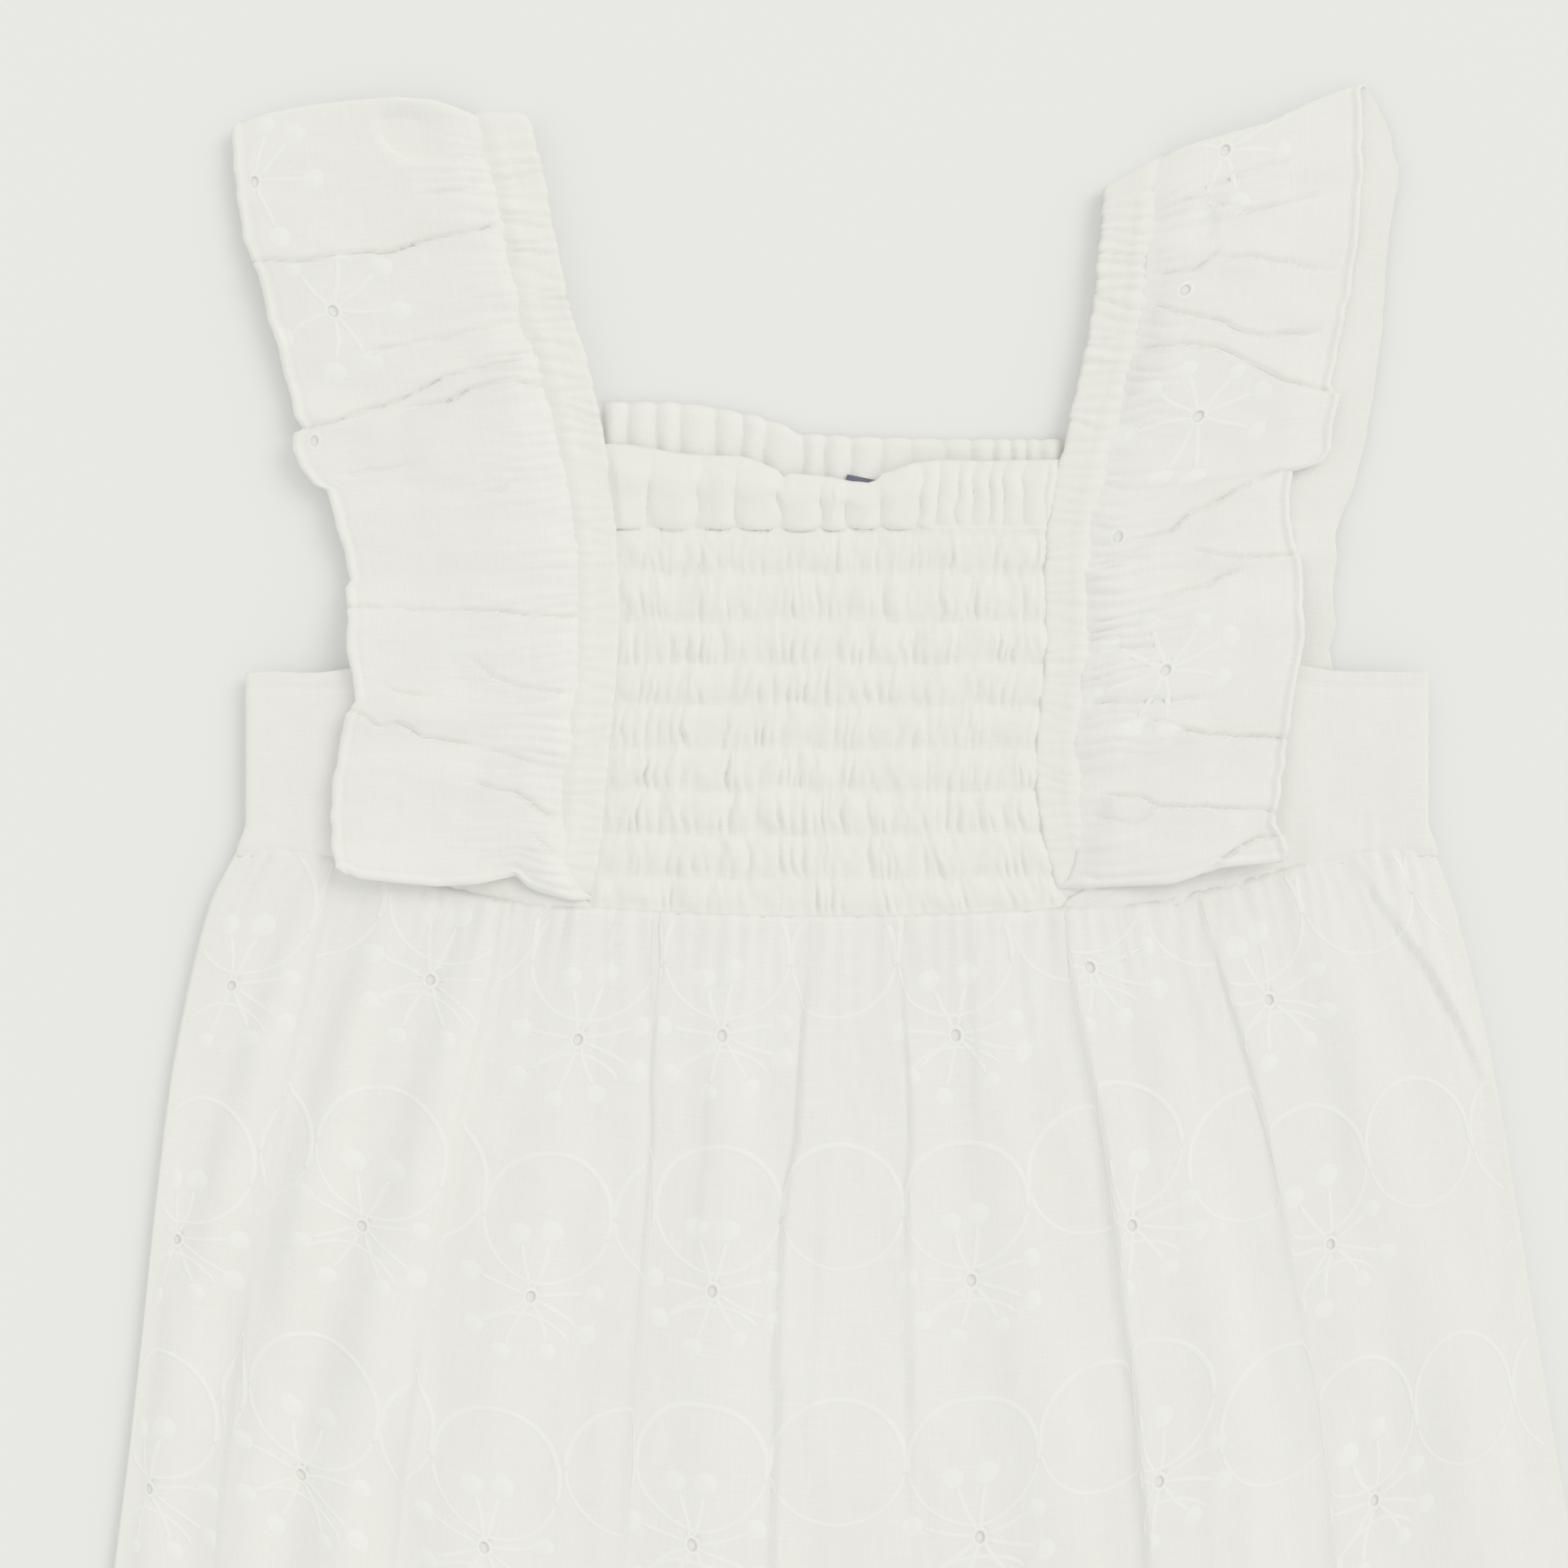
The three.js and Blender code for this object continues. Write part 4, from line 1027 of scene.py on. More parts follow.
def smockHeight(across, up, seed):
    # Between two elastics the cloth puffs up in a half wave. Short dents stand on the lower elastic where
    # two gathers meet: a bell curve across and another up, with a depth and a length of their own.
    lines = np.array(smock["elasticUp"])
    up = up + 0.5 * softNoise(across * 12, up / 6, seed + 2) * ramp(0, 5, up)
    k = np.clip(np.searchsorted(lines, up, side="right") - 1, 0, len(lines) - 2)
    p = np.clip((up - lines[k]) / (lines[k + 1] - lines[k]), 0, 1)
    place = across * smock["gathers"] + 0.9 * softNoise(across * 15, k * 3.7, seed) + 7
    place = place + 0.35 * softNoise(across * 21, up / 2.4, seed + 1)
    nearest = np.round(place)
    deep, reach = smock["dentDeep"], smock["dentReach"]
    depth = deep[0] + deep[1] * cellNoise(nearest, k, seed + 3) ** 1.2
    reach = reach[0] + reach[1] * cellNoise(nearest, k, seed + 4) ** 2
    dent = depth * bell(place - nearest, smock["dentWide"]) * bell(np.maximum(p - 0.1, 0), reach)
    uneven = 1 + smock["uneven"] * softNoise(place * 0.9, k * 5.3 + 0.4 * p, seed + 5)
    puffed = np.sin(math.pi * np.clip(p, 0.001, 1)) ** 0.55 * uneven
    fine = smock["fine"][0] * softNoise(place * 2.6, up / 1.7, seed + 6)
    fine = fine + smock["fine"][1] * softNoise(place * 1.4, up / 4.3, seed + 7)
    pinched = 0.3 * dent * bell(p, 0.1)
    return smock["puff"] * puffed * (1 - 0.92 * dent) + fine - pinched


def makeFrontBodice():
    # Nine smocked rows and a puffed frill above them, between the straps. The frill's height is its
    # profile up the garment, less a share in each groove, and its top edge hangs in scallops.
    lines = np.array(smock["elasticUp"])
    n = smock["rowLines"]
    ups = np.concatenate([np.linspace(a, b, n, endpoint=False) for a, b in zip(lines[:-1], lines[1:])])
    frill = np.linspace(0, 1, smock["frillLines"]) ** 1.25
    share = np.concatenate([np.zeros(len(ups)), frill])[:, None]
    ups = np.concatenate([ups, np.full(len(frill), lines[-1])])[:, None]
    across = np.linspace(0, 1, smock["columns"])[None, :]
    top = np.interp(mix(-45, 45, across), smock["frillTop"]["x"], smock["frillTop"]["up"])
    up = ups + share * (top - lines[-1])
    x = mix(-strapInner("left", up) - smock["tuck"], strapInner("right", up) + smock["tuck"], across)
    calm = ramp(*smock["calmer"], x)
    deep, rough = smock["scallop"]
    scallop = (deep + rough * softNoise(x / 7, 0.5, 86)) * (frillPuff(x) - 0.3) * (1 - 0.7 * calm)
    scallop = scallop * np.sin(math.pi * np.clip(0.08 + share * 2.6, 0, 1)) * (share > 0)
    sag = waistSag(x) * np.exp(-(up - lines[0]) / 14)
    y = up - scallop - sag + 0.35 * softNoise(x / 6, up / 9, 81) * ramp(0, 6, up)
    edge = ramp(0, smock["edge"], across) * ramp(0, smock["edge"], 1 - across)
    profile = np.interp(share, *smock["frillProfile"])
    puffy = mix(1.0, 0.62, calm)
    bent = x + 0.9 * softNoise(x / 6, share * 4, 84) + 1.4 * (share - 0.3) * softNoise(x / 9, 0.5, 87)
    grooved = 0.75 + 0.25 * softNoise(x / 8, 1.5, 88)
    grooved = grooved * mix(1.0, 0.35, ramp(0.42, 0.62, share) * (1 - calm))
    frillHeight = smock["frillTall"] * puffy * profile * (1 - grooved * (1 - frillPuff(bent)))
    frillHeight = frillHeight + 0.35 * softNoise(x / 3.6, share * 3.2, 85) * np.minimum(profile, 0.8)
    smocked = smockHeight(across, np.minimum(up, lines[-1] - 1e-6), 82)
    low = 1 - ramp(0, 2.4, up - lines[0])   # the lowest row runs level into the cloth of the body
    smocked = mix(smocked, 0.85 + 0.25 * softNoise(x / 2.4, up / 5, 89), low)
    shallow = mix(0.45, 1.0, ramp(8, 20, x))    # the highest elastic hardly shows on the right
    smocked = np.maximum(smocked, shallow * ramp(-1.6, 0, up - lines[-1]))
    frillHeight = np.maximum(frillHeight, shallow * np.exp(-share / 0.07))
    atSeam = 0.2 * (1 - ramp(0, 2.5, up - lines[0]))
    points = spread(x, y, layer["bodice"] - atSeam + edge * np.where(share > 0, frillHeight, smocked))
    piece = cloth("frontBodice", points, clothPlaces(points, smock["width"]), material["elasticCotton"],
                  smock["wall"])
    declare(piece, "elastic_cotton", points, "gathered", ["backBodice"], "front_bodice")


makeFrontBodice()
print("smocked front made")


# Shirred back, whose inner face shows above the front

backCloth = {
    "wall": 0.4,
    "columns": 260,
    "coveredRows": 40,
    "shownRows": 26,
    "topEdge": {"x": [-50, -41.8, -30.3, -22, -14.1, -9.5, -7.1, 3.6, 22, 43.6, 50],
                "up": [101.2, 100.9, 100.9, 99.8, 98.0, 96.2, 94.7, 93.9, 93.5, 93.4, 93.2]},
    "grooves": [-46, -41.1, -35.4, -30.3, -23.7, -18.3, -13.8, -6.3, -1.8, 3.4, 9.5, 15.6, 22.0, 27.5, 32.0,
                35.2, 38.2, 41.0, 46],
    "tall": 1.7,
    "shownFrom": 80.0,      # above this its inner face shows
    "lift": 0.75,
    "width": 160.0,
}


def makeBackBodice():
    # Low smocking under the front. Above it flutes, a half sine between two grooves to a power, open
    # towards the top edge.
    spec = backCloth
    across = np.linspace(0, 1, spec["columns"])[None, :]
    middle = mix(-45, 45, across)
    from_ = spec["shownFrom"]
    top = np.interp(middle, spec["topEdge"]["x"], spec["topEdge"]["up"])
    covered = np.linspace(0, 1, spec["coveredRows"], endpoint=False)[:, None]
    shown = np.linspace(0, 1, spec["shownRows"])[:, None]
    up = np.concatenate([mix(waistUp(middle), from_, covered), mix(from_, top, shown)])
    x = mix(-strapInner("left", up) - smock["tuck"], strapInner("right", up) + smock["tuck"], across)
    flute = flutes(x + 0.5 * softNoise(x / 6, up / 6, 92), spec["grooves"], 0.7)
    open_ = ramp(80.5, 86, up) * mix(1.0, 0.5, ramp(5, 20, x) * (1 - ramp(26, 34, x)))
    atTop = 1 - 0.45 * ramp(0.88, 1, (up - from_) / (top - from_))
    drawn = smockHeight(across, np.minimum(up, 75.0), 93) * (1 - ramp(74, 78, up))
    y = up + 0.35 * flute * ramp(88, 94, up)
    z = spec["lift"] + spec["tall"] * open_ * atTop * (0.25 + 0.75 * flute) + 0.25 * np.minimum(drawn, 1.4)
    # Its material's warmer, darker tone is painted shade under the front.
    points = spread(x, y, z)
    piece = cloth("backBodice", points, clothPlaces(points, spec["width"]), material["shadedInsideCotton"],
                  spec["wall"])
    declare(piece, "elastic_cotton", points, "gathered", ["floor"], "back_bodice")
    print("shirred back made")


makeBackBodice()


# Plain neck label

labelTape = {"left": 2.7, "wide": 11.5, "deep": 10.4, "top": 86.6, "slant": 0.2, "wall": 0.3, "lift": 2.7,
             "ridge": 0.12}     # height of its turned edges, and the share of its width that they take


def makeLabel():
    # A flat tape with its side edges turned in: its height is even but for a low ridge at each side.
    spec = labelTape
    across = np.linspace(0, 1, 13)[None, :]
    down = np.linspace(0, 1, 9)[:, None]
    x = spec["left"] + across * spec["wide"] - down * spec["deep"] * spec["slant"]
    y = spec["top"] - down * spec["deep"] - across * spec["wide"] * spec["slant"]
    z = spec["lift"] + spec["ridge"] * (1 - ramp(0, spec["ridge"], np.minimum(across, 1 - across)))
    points = spread(x, y, z)
    coords = clothPlaces(points, spec["wide"])
    piece = cloth("neckLabel", points, coords, material["labelTape"], spec["wall"], flip=True)
    declare(piece, "label_tape", points, "laid", ["backBodice"], "neck_label")


makeLabel()
print("label made")


# Shoulder ruffles

# A pleat is its lip's height, how far the lip fades, and its line's places out and up. The cloth below
# the line laps over the cloth above it.
ruffles = {
    "left": {
        "seamUp": [1.2, 157.0],
        "front": {
            "seamUp": [1.2, 16, 32, 50, 70, 88, 101, 116, 132, 146, 157],
            "hemUp": [7.0, 18, 32, 48, 67, 83.5, 94, 109, 127, 141, 151.3],
            "rise": [3.0, 2.2, 1.2, 1.0, 1.2, 1.6, 2.2, 1.6, 1.0, 0.6, 0],
        },
        "back": {"seamUp": [1.2, 40, 80, 100, 130, 157], "hemUp": [11, 42, 77, 96, 124, 151.3]},
        "hemEdge": {
            "up": [5.8, 7.5, 11.2, 18.3, 24.9, 32.1, 38.7, 41.3, 45.7, 51.2, 59.5, 63.8, 65.4, 71.0, 76.5,
                   80.8, 83.4, 84.2, 87.6, 91.5, 94.4, 95.7, 97.8, 107.6, 112.9, 118.4, 125.9, 129.1,
                   133.3, 141.9, 151.1, 154],
            "out": [96.2, 98.4, 99.7, 100.0, 99.6, 98.3, 97.0, 95.0, 95.6, 96.6, 96.6, 97.4, 96.4, 97.2,
                    99.3, 100.4, 101.1, 103.4, 106.2, 107.9, 107.5, 106.0, 107.3, 109.7, 111.3, 112.9,
                    114.5, 116.2, 117.8, 118.9, 120.2, 120.6],
        },
        "backEdge": {"up": [11, 42, 77, 97, 125, 154], "out": [92, 93.5, 95.5, 102.5, 110.5, 120.2]},
        "bottomEdge": {
            "out": [46, 52.2, 58.3, 61.0, 63.2, 66.5, 70.8, 78.6, 85.7, 93.8, 97.7],
            "up": [1.6, 1.5, 3.1, 4.3, 6.6, 5.8, 4.8, 4.4, 5.0, 5.9, 7.5],
        },
        "pleats": [
            (1.7, 13, [40, 66.7, 73.2, 82.3, 86.7, 98.5, 108.1, 116, 130],
             [138.0, 136.1, 134.5, 132.4, 130.5, 129.9, 128.6, 128.4, 128.4]),
            (0.6, 7, [64.5, 67.4, 78.1, 93.5], [116.2, 115.5, 113.2, 110.5]),
            (2.1, 15, [60, 71.6, 78.6, 83.9, 90.9, 98.5, 104.3, 130],
             [109.0, 107.1, 105.0, 102.2, 99.5, 96.9, 95.2, 92.0]),
            (1.3, 9, [52, 57.7, 63.5, 71.6, 77.0, 86.0], [103.2, 103.4, 104.8, 103.3, 100.4, 98.9]),
            (1.3, 14, [40, 52.8, 61.0, 69.2, 82.9, 96.1, 130], [57.6, 57.9, 58.2, 58.9, 59.1, 59.9, 60.2]),
            (0.9, 7, [52, 55.6, 61.0, 67.5, 73.5], [42.8, 43.0, 43.6, 45.7, 50.4]),
            (1.2, 9, [71, 73.0, 81.8, 84.0, 86.8, 90.6, 95.6, 130],
             [31.9, 32.3, 33.7, 35.6, 36.7, 35.9, 39.2, 41.0]),
            (0.6, 5, [80, 82.9, 87.8, 91.0], [41.9, 42.4, 43.3, 44.4]),
            (0.8, 6, [59, 61.0, 67.6, 70.5], [28.9, 29.3, 30.9, 31.2]),
            (1.0, 7, [54, 56.6, 63.2, 67.6, 73.0], [17.0, 18.4, 22.7, 23.8, 25.0]),
            (1.2, 6, [40, 49.6, 53.9, 58.0, 61.0], [6.9, 7.7, 9.6, 12.9, 16.0]),
            (0.4, 8, [84, 90.0, 99.0], [88.0, 87.0, 86.0]),
            (0.5, 6, [62, 69.0, 74.0], [85.0, 82.5, 80.4]),
            (0.9, 5, [60, 66.0, 72.0, 79.0], [151.6, 150.6, 149.4, 149.0]),
            (0.5, 5, [70, 74.5, 82.0], [143.0, 142.3, 142.0]),
        ],
        "backPleats": [],
        "eyelets": [(115.3, 144.7), (99.9, 118.7), (103.5, 92.8)],
        "flowers": [0, 1],      # the eyelets with a flower round them
        "hollow": {"out": 81.6, "up": 156.5, "wide": 9.8, "long": 8.2, "deep": 1.9},
    },
    "right": {
        "seamUp": [2.2, 147.4],
        "front": {
            "seamUp": [2.2, 14, 30, 46, 62, 76, 84, 100, 116, 132, 147.4],
            "hemUp": [10.6, 21, 37, 54, 70, 83, 90, 105, 122, 142, 161.4],
            "rise": [2.8, 2.2, 1.4, 1.2, 1.2, 1.6, 2.4, 1.8, 1.0, 0.6, 0],
        },
        "back": {
            "seamUp": [2.2, 36, 60, 80, 100, 120, 133, 147.4],
            "hemUp": [12, 45, 64, 84, 104, 128, 145, 161.4],
        },
        "hemEdge": {
            "up": [9.0, 11.4, 14.4, 17.5, 20.4, 28.8, 34.5, 40.2, 47.1, 53.9, 60.5, 67.6, 74.4, 82.3, 84.1,
                   87.2, 88.0, 88.8, 91.5, 97.0, 102.2, 104.5, 108.7, 115.7, 123.8, 131.9, 145.2, 150.7,
                   158, 164.6],
            "out": [88.3, 90.7, 89.4, 87.6, 88.2, 89.6, 90.2, 91.4, 92.5, 93.6, 93.2, 93.6, 91.6, 90.6,
                    90.8, 91.4, 94.6, 97.4, 99.0, 99.6, 100.6, 99.0, 100.1, 101.1, 103.2, 104.3, 105.5,
                    105.4, 105.2, 105.0],
        },
        "backEdge": {
            "up": [12, 45.8, 51.7, 56.2, 63, 68.7, 74.4, 78.2, 84.1, 94.1, 105, 118.4, 134.5, 139.8, 146.3,
                   154.4, 164.6],
            "out": [93, 100.4, 98.9, 100.4, 99.5, 100.4, 99.9, 101.6, 103.8, 106.4, 108.1, 109.7, 110.8,
                    111.9, 112.9, 110.8, 105.2],
        },
        "bottomEdge": {
            "out": [42, 48.7, 58.3, 66.9, 71.4, 75.4, 82.2, 88.5, 91],
            "up": [3.6, 3.9, 4.4, 4.8, 6.2, 8.0, 8.7, 9.2, 11.0],
        },
        "pleats": [
            (1.5, 10, [61, 63.5, 70.5, 76.4, 81.8, 87.2, 93, 96.3],
             [120.8, 120.0, 117.8, 116.7, 114.4, 114.0, 114.2, 114.6]),
            (1.9, 12, [56, 60.3, 69.4, 75.9, 84.5, 89.8, 97.9, 130],
             [110.4, 110.8, 112.2, 111.4, 107.3, 104.9, 102.8, 101.0]),
            (0.9, 6, [68, 70.5, 78.0, 87.2, 92.0], [140.4, 141.7, 144.7, 147.9, 149.0]),
            (0.6, 5, [79, 82.3, 89.9, 95.0], [150.2, 151.1, 153.3, 154.4]),
            (0.9, 7, [73, 75.3, 80.7, 85.5, 93.1, 98.0], [141.2, 140.4, 138.8, 138.8, 140.9, 142.6]),
            (1.0, 7, [63, 66.2, 71.6, 75.3, 77.0], [125.9, 126.2, 126.9, 129.6, 131.4]),
            (0.7, 8, [75, 77.4, 84.4, 90.9, 96.2, 100], [129.9, 129.6, 129.1, 128.0, 127.0, 126.8]),
            (1.5, 9, [60, 62.9, 66.9, 70.9, 76.6, 85.1, 88.5], [73.0, 73.5, 74.9, 78.3, 81.2, 85.4, 87.2]),
            (1.2, 9, [70, 75.0, 81.7, 91.3, 130], [71.4, 70.4, 69.4, 70.4, 71.0]),
            (0.8, 6, [40, 51.5, 57.2, 61.0], [67.4, 68.1, 69.2, 69.8]),
            (1.2, 8, [61, 63.5, 68.6, 74.3, 78.8, 81.0], [60.2, 60.7, 62.7, 64.1, 66.4, 67.6]),
            (0.8, 6, [54, 56.7, 61.7, 65.0], [51.6, 51.6, 51.6, 51.4]),
            (0.6, 7, [48, 52.1, 60.0, 70.3, 74.0], [40.2, 40.5, 41.0, 41.5, 41.6]),
            (1.7, 10, [62, 64.6, 69.7, 74.3, 89.0, 130], [37.6, 36.8, 35.4, 34.3, 33.7, 33.6]),
            (1.6, 9, [53, 56.1, 61.8, 64.6, 70.9, 85.6, 88.2, 130],
             [22.8, 22.4, 21.5, 20.1, 20.1, 19.5, 18.6, 18.0]),
            (0.7, 5, [50, 53.8, 59.5, 64.0], [18.2, 17.8, 16.7, 19.6]),
            (1.6, 5, [73, 75.4, 80.0, 83.9, 89.0, 130], [7.6, 8.6, 11.8, 13.8, 14.6, 15.0]),
        ],
        "backPleats": [
            (1.3, 5, [84, 90.0, 97.0, 104.0], [77.6, 78.4, 79.0, 79.6]),
            (1.0, 4, [86, 91.5, 97.0, 104.0], [71.2, 72.0, 72.3, 72.6]),
            (0.9, 4, [88, 94.0, 99.0, 106.0], [50.4, 51.0, 51.6, 52.0]),
        ],
        "eyelets": [(78.0, 150.6), (69.7, 122.9), (72.7, 97.9), (66.3, 47.3), (56.1, 73.8)],
        "flowers": [0, 2, 3],
        "hollow": {"out": 71.0, "up": 136.6, "wide": 5.5, "long": 4.5, "deep": 0.5},
    },
}
ruffleCloth = {
    "wall": 0.4,
    "columns": 60,
    "frontRows": 370,
    "turnRows": 10,
    "backRows": 60,
    "tuck": 1.3,            # the seam lies this far under the strap's edge
    "gatherTall": 1.3,
    "wave": 0.6,
    "hem": [0.9, 0.55],     # how far from the edge the rolled hem's crest lies, and its height
    "droop": [2.2, 54.0, 68.0],     # how far the hem hangs above the side panel, and from which heights on
    "backLift": [0.75, 3.6, 1.5],   # height of the back half beside the side panel, above it, and at its hem
    "lapOver": [8.5, 5.0],  # its lower end covers the strap's: how far in, and over how long
    "sink": 2.2,            # how far that end sinks towards the waist seam
    "width": 46.0,
    "backing": [2.3, 0.45],     # radius and depth of the patch of cloth under an eyelet
    "creasing": [0.16, 0.05],   # heights of its finer waves
    "edgeRough": 0.35,      # how far the hem strays from its line
    "riseShare": 0.55,      # share of the table's rise that the hem takes
    "uneven": 0.6,          # how much the gathers vary along the seam
    "backWaves": [0.2, 0.12],
    "lip": 0.85,            # share of a pleat's own lip height
    "dip": 0.14,            # and how far the cloth above it sinks, as a share of the lip
    "crevice": 0.95,        # depth of the line between them, for a lip of 1
    "wander": 0.35,         # how far that line strays
    "underStrap": 1.6,      # how far its seam dips under the strap
    "overBody": 1.0,        # lift of its lower end over the body's seam
}


def pleatRelief(pleats, out, y):
    # Beside each line the lower cloth stands up as a lip that sinks back over fade, and the upper cloth
    # dips into a narrow crevice at the line. A line that ends on the cloth fades out there.
    out, make = np.asarray(out), ruffleCloth
    total = np.zeros(np.broadcast_shapes(out.shape, np.shape(y)))
    for lipTall, fade, outs, ups in pleats:
        under = np.interp(out, outs, ups) + make["wander"] * softNoise(out / 3.2, ups[0], 99) - y
        starts = 1.0 if outs[0] <= 40 else ramp(outs[0] - 1.5, outs[0] + 4, out)
        stops = 1.0 if outs[-1] >= 130 else 1 - ramp(outs[-1] - 4, outs[-1] + 1.5, out)
        strength = starts * stops * (0.8 + 0.3 * softNoise(out / 6, ups[0] + 0.5, 98))
        lip = ramp(-0.35, 0.45, under) * np.exp(-np.maximum(under - 0.4, 0) / fade)
        crevice = bell(np.minimum(under + 0.2, 0), 0.5) * ramp(-0.4, 0.15, -under)
        dip = np.exp(-(np.maximum(-under, 0) / 3.0) ** 1.2) * (under < 0.3)
        lapped = make["lip"] * lipTall * (lip - make["dip"] * dip)
        total += strength * (lapped - make["crevice"] * np.sqrt(lipTall) * crevice)
    return total


def makeRuffle(side):
    # Columns run from the seam to the hem, rows from the front waist over the shoulder to the back. The
    # front's height adds up its rise, gathers that die out from the seam, waves, pleats and rolled hems.
    spec, make = ruffles[side], ruffleCloth
    seed = 101 if side == "left" else 131
    across = 1 - np.linspace(1, 0, make["columns"])[None, :] ** 1.25    # denser towards the hem
    droop = make["droop"][0] * across**1.5
    backFar = mix(make["backLift"][1], make["backLift"][2], across**1.5)
    backHigh = mix(make["backLift"][0], backFar, ramp(0, 0.14, across))
    turnRadius = (layer["ruffle"] - droop - backHigh) / 2
    lowEnd, highEnd = spec["seamUp"]

    def plan(rows, edge, share):
        # Each row runs straight from the seam to the hem. An exponential bends the last ones to the
        # shoulder's line, and another draws the front's first ones over the strap.
        seamUp = mix(lowEnd, highEnd, share)
        hemUp = throughRows(rows, "seamUp", "hemUp", seamUp)
        hemOut = np.interp(hemUp, edge["up"], edge["out"])
        hemOut = hemOut + make["edgeRough"] * softNoise(hemUp / 2.6, 0.5, seed + 9)
        over = make["lapOver"][0] * np.exp(-(seamUp - lowEnd) / make["lapOver"][1])
        out = mix(strapOuter(side, seamUp) - make["tuck"] - over * (rows is spec["front"]), hemOut, across)
        y = mix(seamUp, hemUp, across)
        topLine = np.interp(out, shoulderLine[side]["out"], shoulderLine[side]["up"]) - turnRadius
        last = mix(highEnd, rows["hemUp"][-1], across)
        y = y + (topLine - last) * np.exp(-(highEnd - seamUp) / 9)
        return out, y, seamUp

    def hemRoll(away):
        # A bell-shaped roll along an edge, and a shallow one under the cloth behind it.
        at, tall = make["hem"]
        return tall * bell(away - at, 0.6) - 0.4 * tall * bell(away - 2.2 * at, 0.5)

    share = np.linspace(0, 1, make["frontRows"])[:, None]
    out, y, seamUp = plan(spec["front"], spec["hemEdge"], share)
    first = mix(lowEnd, spec["front"]["hemUp"][0], across)
    lowLine = np.interp(out, spec["bottomEdge"]["out"], spec["bottomEdge"]["up"])
    y = y + (lowLine - first) * np.exp(-(seamUp - lowEnd) / 7)
    wide = out[:, -1:] - out[:, :1]
    fromSeam, fromHem = across * wide, (1 - across) * wide
    flat = 1 - ramp(0.93, 1, share)
    rise = make["riseShare"] * throughRows(spec["front"], "seamUp", "rise", seamUp) * across
    reach = 8 + 7 * softNoise(seamUp / 6, 0.3, seed)
    place = seamUp / 2.6 + 0.6 * softNoise(fromSeam / 8, seamUp / 16, seed + 1)
    uneven = 1 + make["uneven"] * softNoise(seamUp / 5, 1.3, seed + 8)
    drawn = gathers(place, fromSeam / 12, seed + 2) * uneven * make["gatherTall"]
    drawn = drawn * np.exp(-fromSeam / np.maximum(reach, 3)) * ramp(-0.5, 4.0, fromSeam)
    waves = (make["wave"] * softNoise(out / 26, y / 6.5, seed + 3)
             + make["creasing"][0] * softNoise(out / 8, y / 3.2, seed + 4)
             + make["creasing"][1] * softNoise(out / 2.6, y / 2.2, seed + 10))
    roll, rollLow = hemRoll(fromHem), hemRoll(y - lowLine)
    roll = np.maximum(roll, rollLow) + np.minimum(0, np.minimum(roll, rollLow))
    pleated = pleatRelief(spec["pleats"], out, y) * ramp(0, 4.5, fromSeam)
    dimple = spec["hollow"]
    round_ = np.hypot((out - dimple["out"]) / dimple["wide"], (y - dimple["up"]) / dimple["long"])
    hollow = -dimple["deep"] * (1 - ramp(0.84, 1.03, round_))
    hollow = hollow * mix(0.45, 1.0, ramp(-7, 4, out - dimple["out"])) * (1 - ramp(0.982, 1, share))
    overBody = make["overBody"] * (1 - ramp(6, 20, y))
    atEnd = np.exp(-(seamUp - lowEnd) / make["lapOver"][1])
    underStrap = (1 - ramp(-1.0, 9.0, fromSeam)) * mix(0.8, 1, flat) * (1 - atEnd)
    sunk = make["sink"] * np.exp(-(seamUp - lowEnd) / 3.5) * (1 - ramp(12, 24, fromSeam))
    free = ramp(*make["droop"][1:], y)
    z = layer["ruffle"] - droop * free - make["underStrap"] * underStrap - sunk
    z = z + rise * flat * (1 - 0.5 * free) + (drawn + waves) * mix(0.35, 1, flat) + pleated * flat
    z = z + roll + hollow * ramp(0, 0.35, across) + overBody * ramp(1, 6, fromSeam)
    front = spread(sign[side] * out, y, z)
    share = np.linspace(0, 1, make["backRows"])[:, None]
    out, y, seamUp = plan(spec["back"], spec["backEdge"], share)
    waves = make["backWaves"][0] * softNoise(out / 24, y / 7, seed + 5)
    waves = waves + make["backWaves"][1] * gathers(seamUp / 4.0, across * 2, seed + 6)
    low = mix(make["backLift"][0], backHigh, ramp(make["droop"][1] + 3, make["droop"][2] + 3, y))
    z = low + waves + 0.5 * (ramp(0, 1, across) * np.abs(softNoise(out / 60, y / 12, seed + 7)))
    back = spread(sign[side] * out, y, z + pleatRelief(spec["backPleats"], out, y))
    points = overShoulder(front, back, make["turnRows"])
    coords = clothPlaces(points, make["width"])
    surface = ClothSurface(points, coords)
    surface.square[:make["frontRows"]] *= np.sign(surface.square[:make["frontRows"], :, 2].mean())
    seen = points[:make["frontRows"], :, :2]

    def placeOf(at):
        # The cloth place of the front's grid point nearest to a place in the photograph's plane.
        far = np.hypot(seen[..., 0] - sign[side] * at[0], seen[..., 1] - at[1])
        return tuple(coords[np.unravel_index(far.argmin(), far.shape)])

    places = [placeOf(at) for at in spec["eyelets"]]
    points, coords, keep, centres = cutEyelets(surface, points, coords, places)
    name = "ruffle" + side.capitalize()
    piece = cloth(name, points, coords, material["cotton"], make["wall"], keep=keep, flip=side == "left")
    work = Stitchery(surface)
    for n, (u, v) in enumerate(centres):
        work.backing(u, v, *make["backing"])
        if n in spec["flowers"]:
            sewFlower(work, u, v, 300 + n, margin=2.5)
        else:
            work.ring(u, v, *flower["ring"])
    embroidery = work.finish(name + "Embroidery", material["embroidery"])
    declare(piece, "cotton", points, "gathered", ["sidePanel" + side.capitalize()], "ruffle_" + side,
            with_pieces=[embroidery])


for side in ("left", "right"):
    makeRuffle(side)
print("ruffles made")


# Side panels

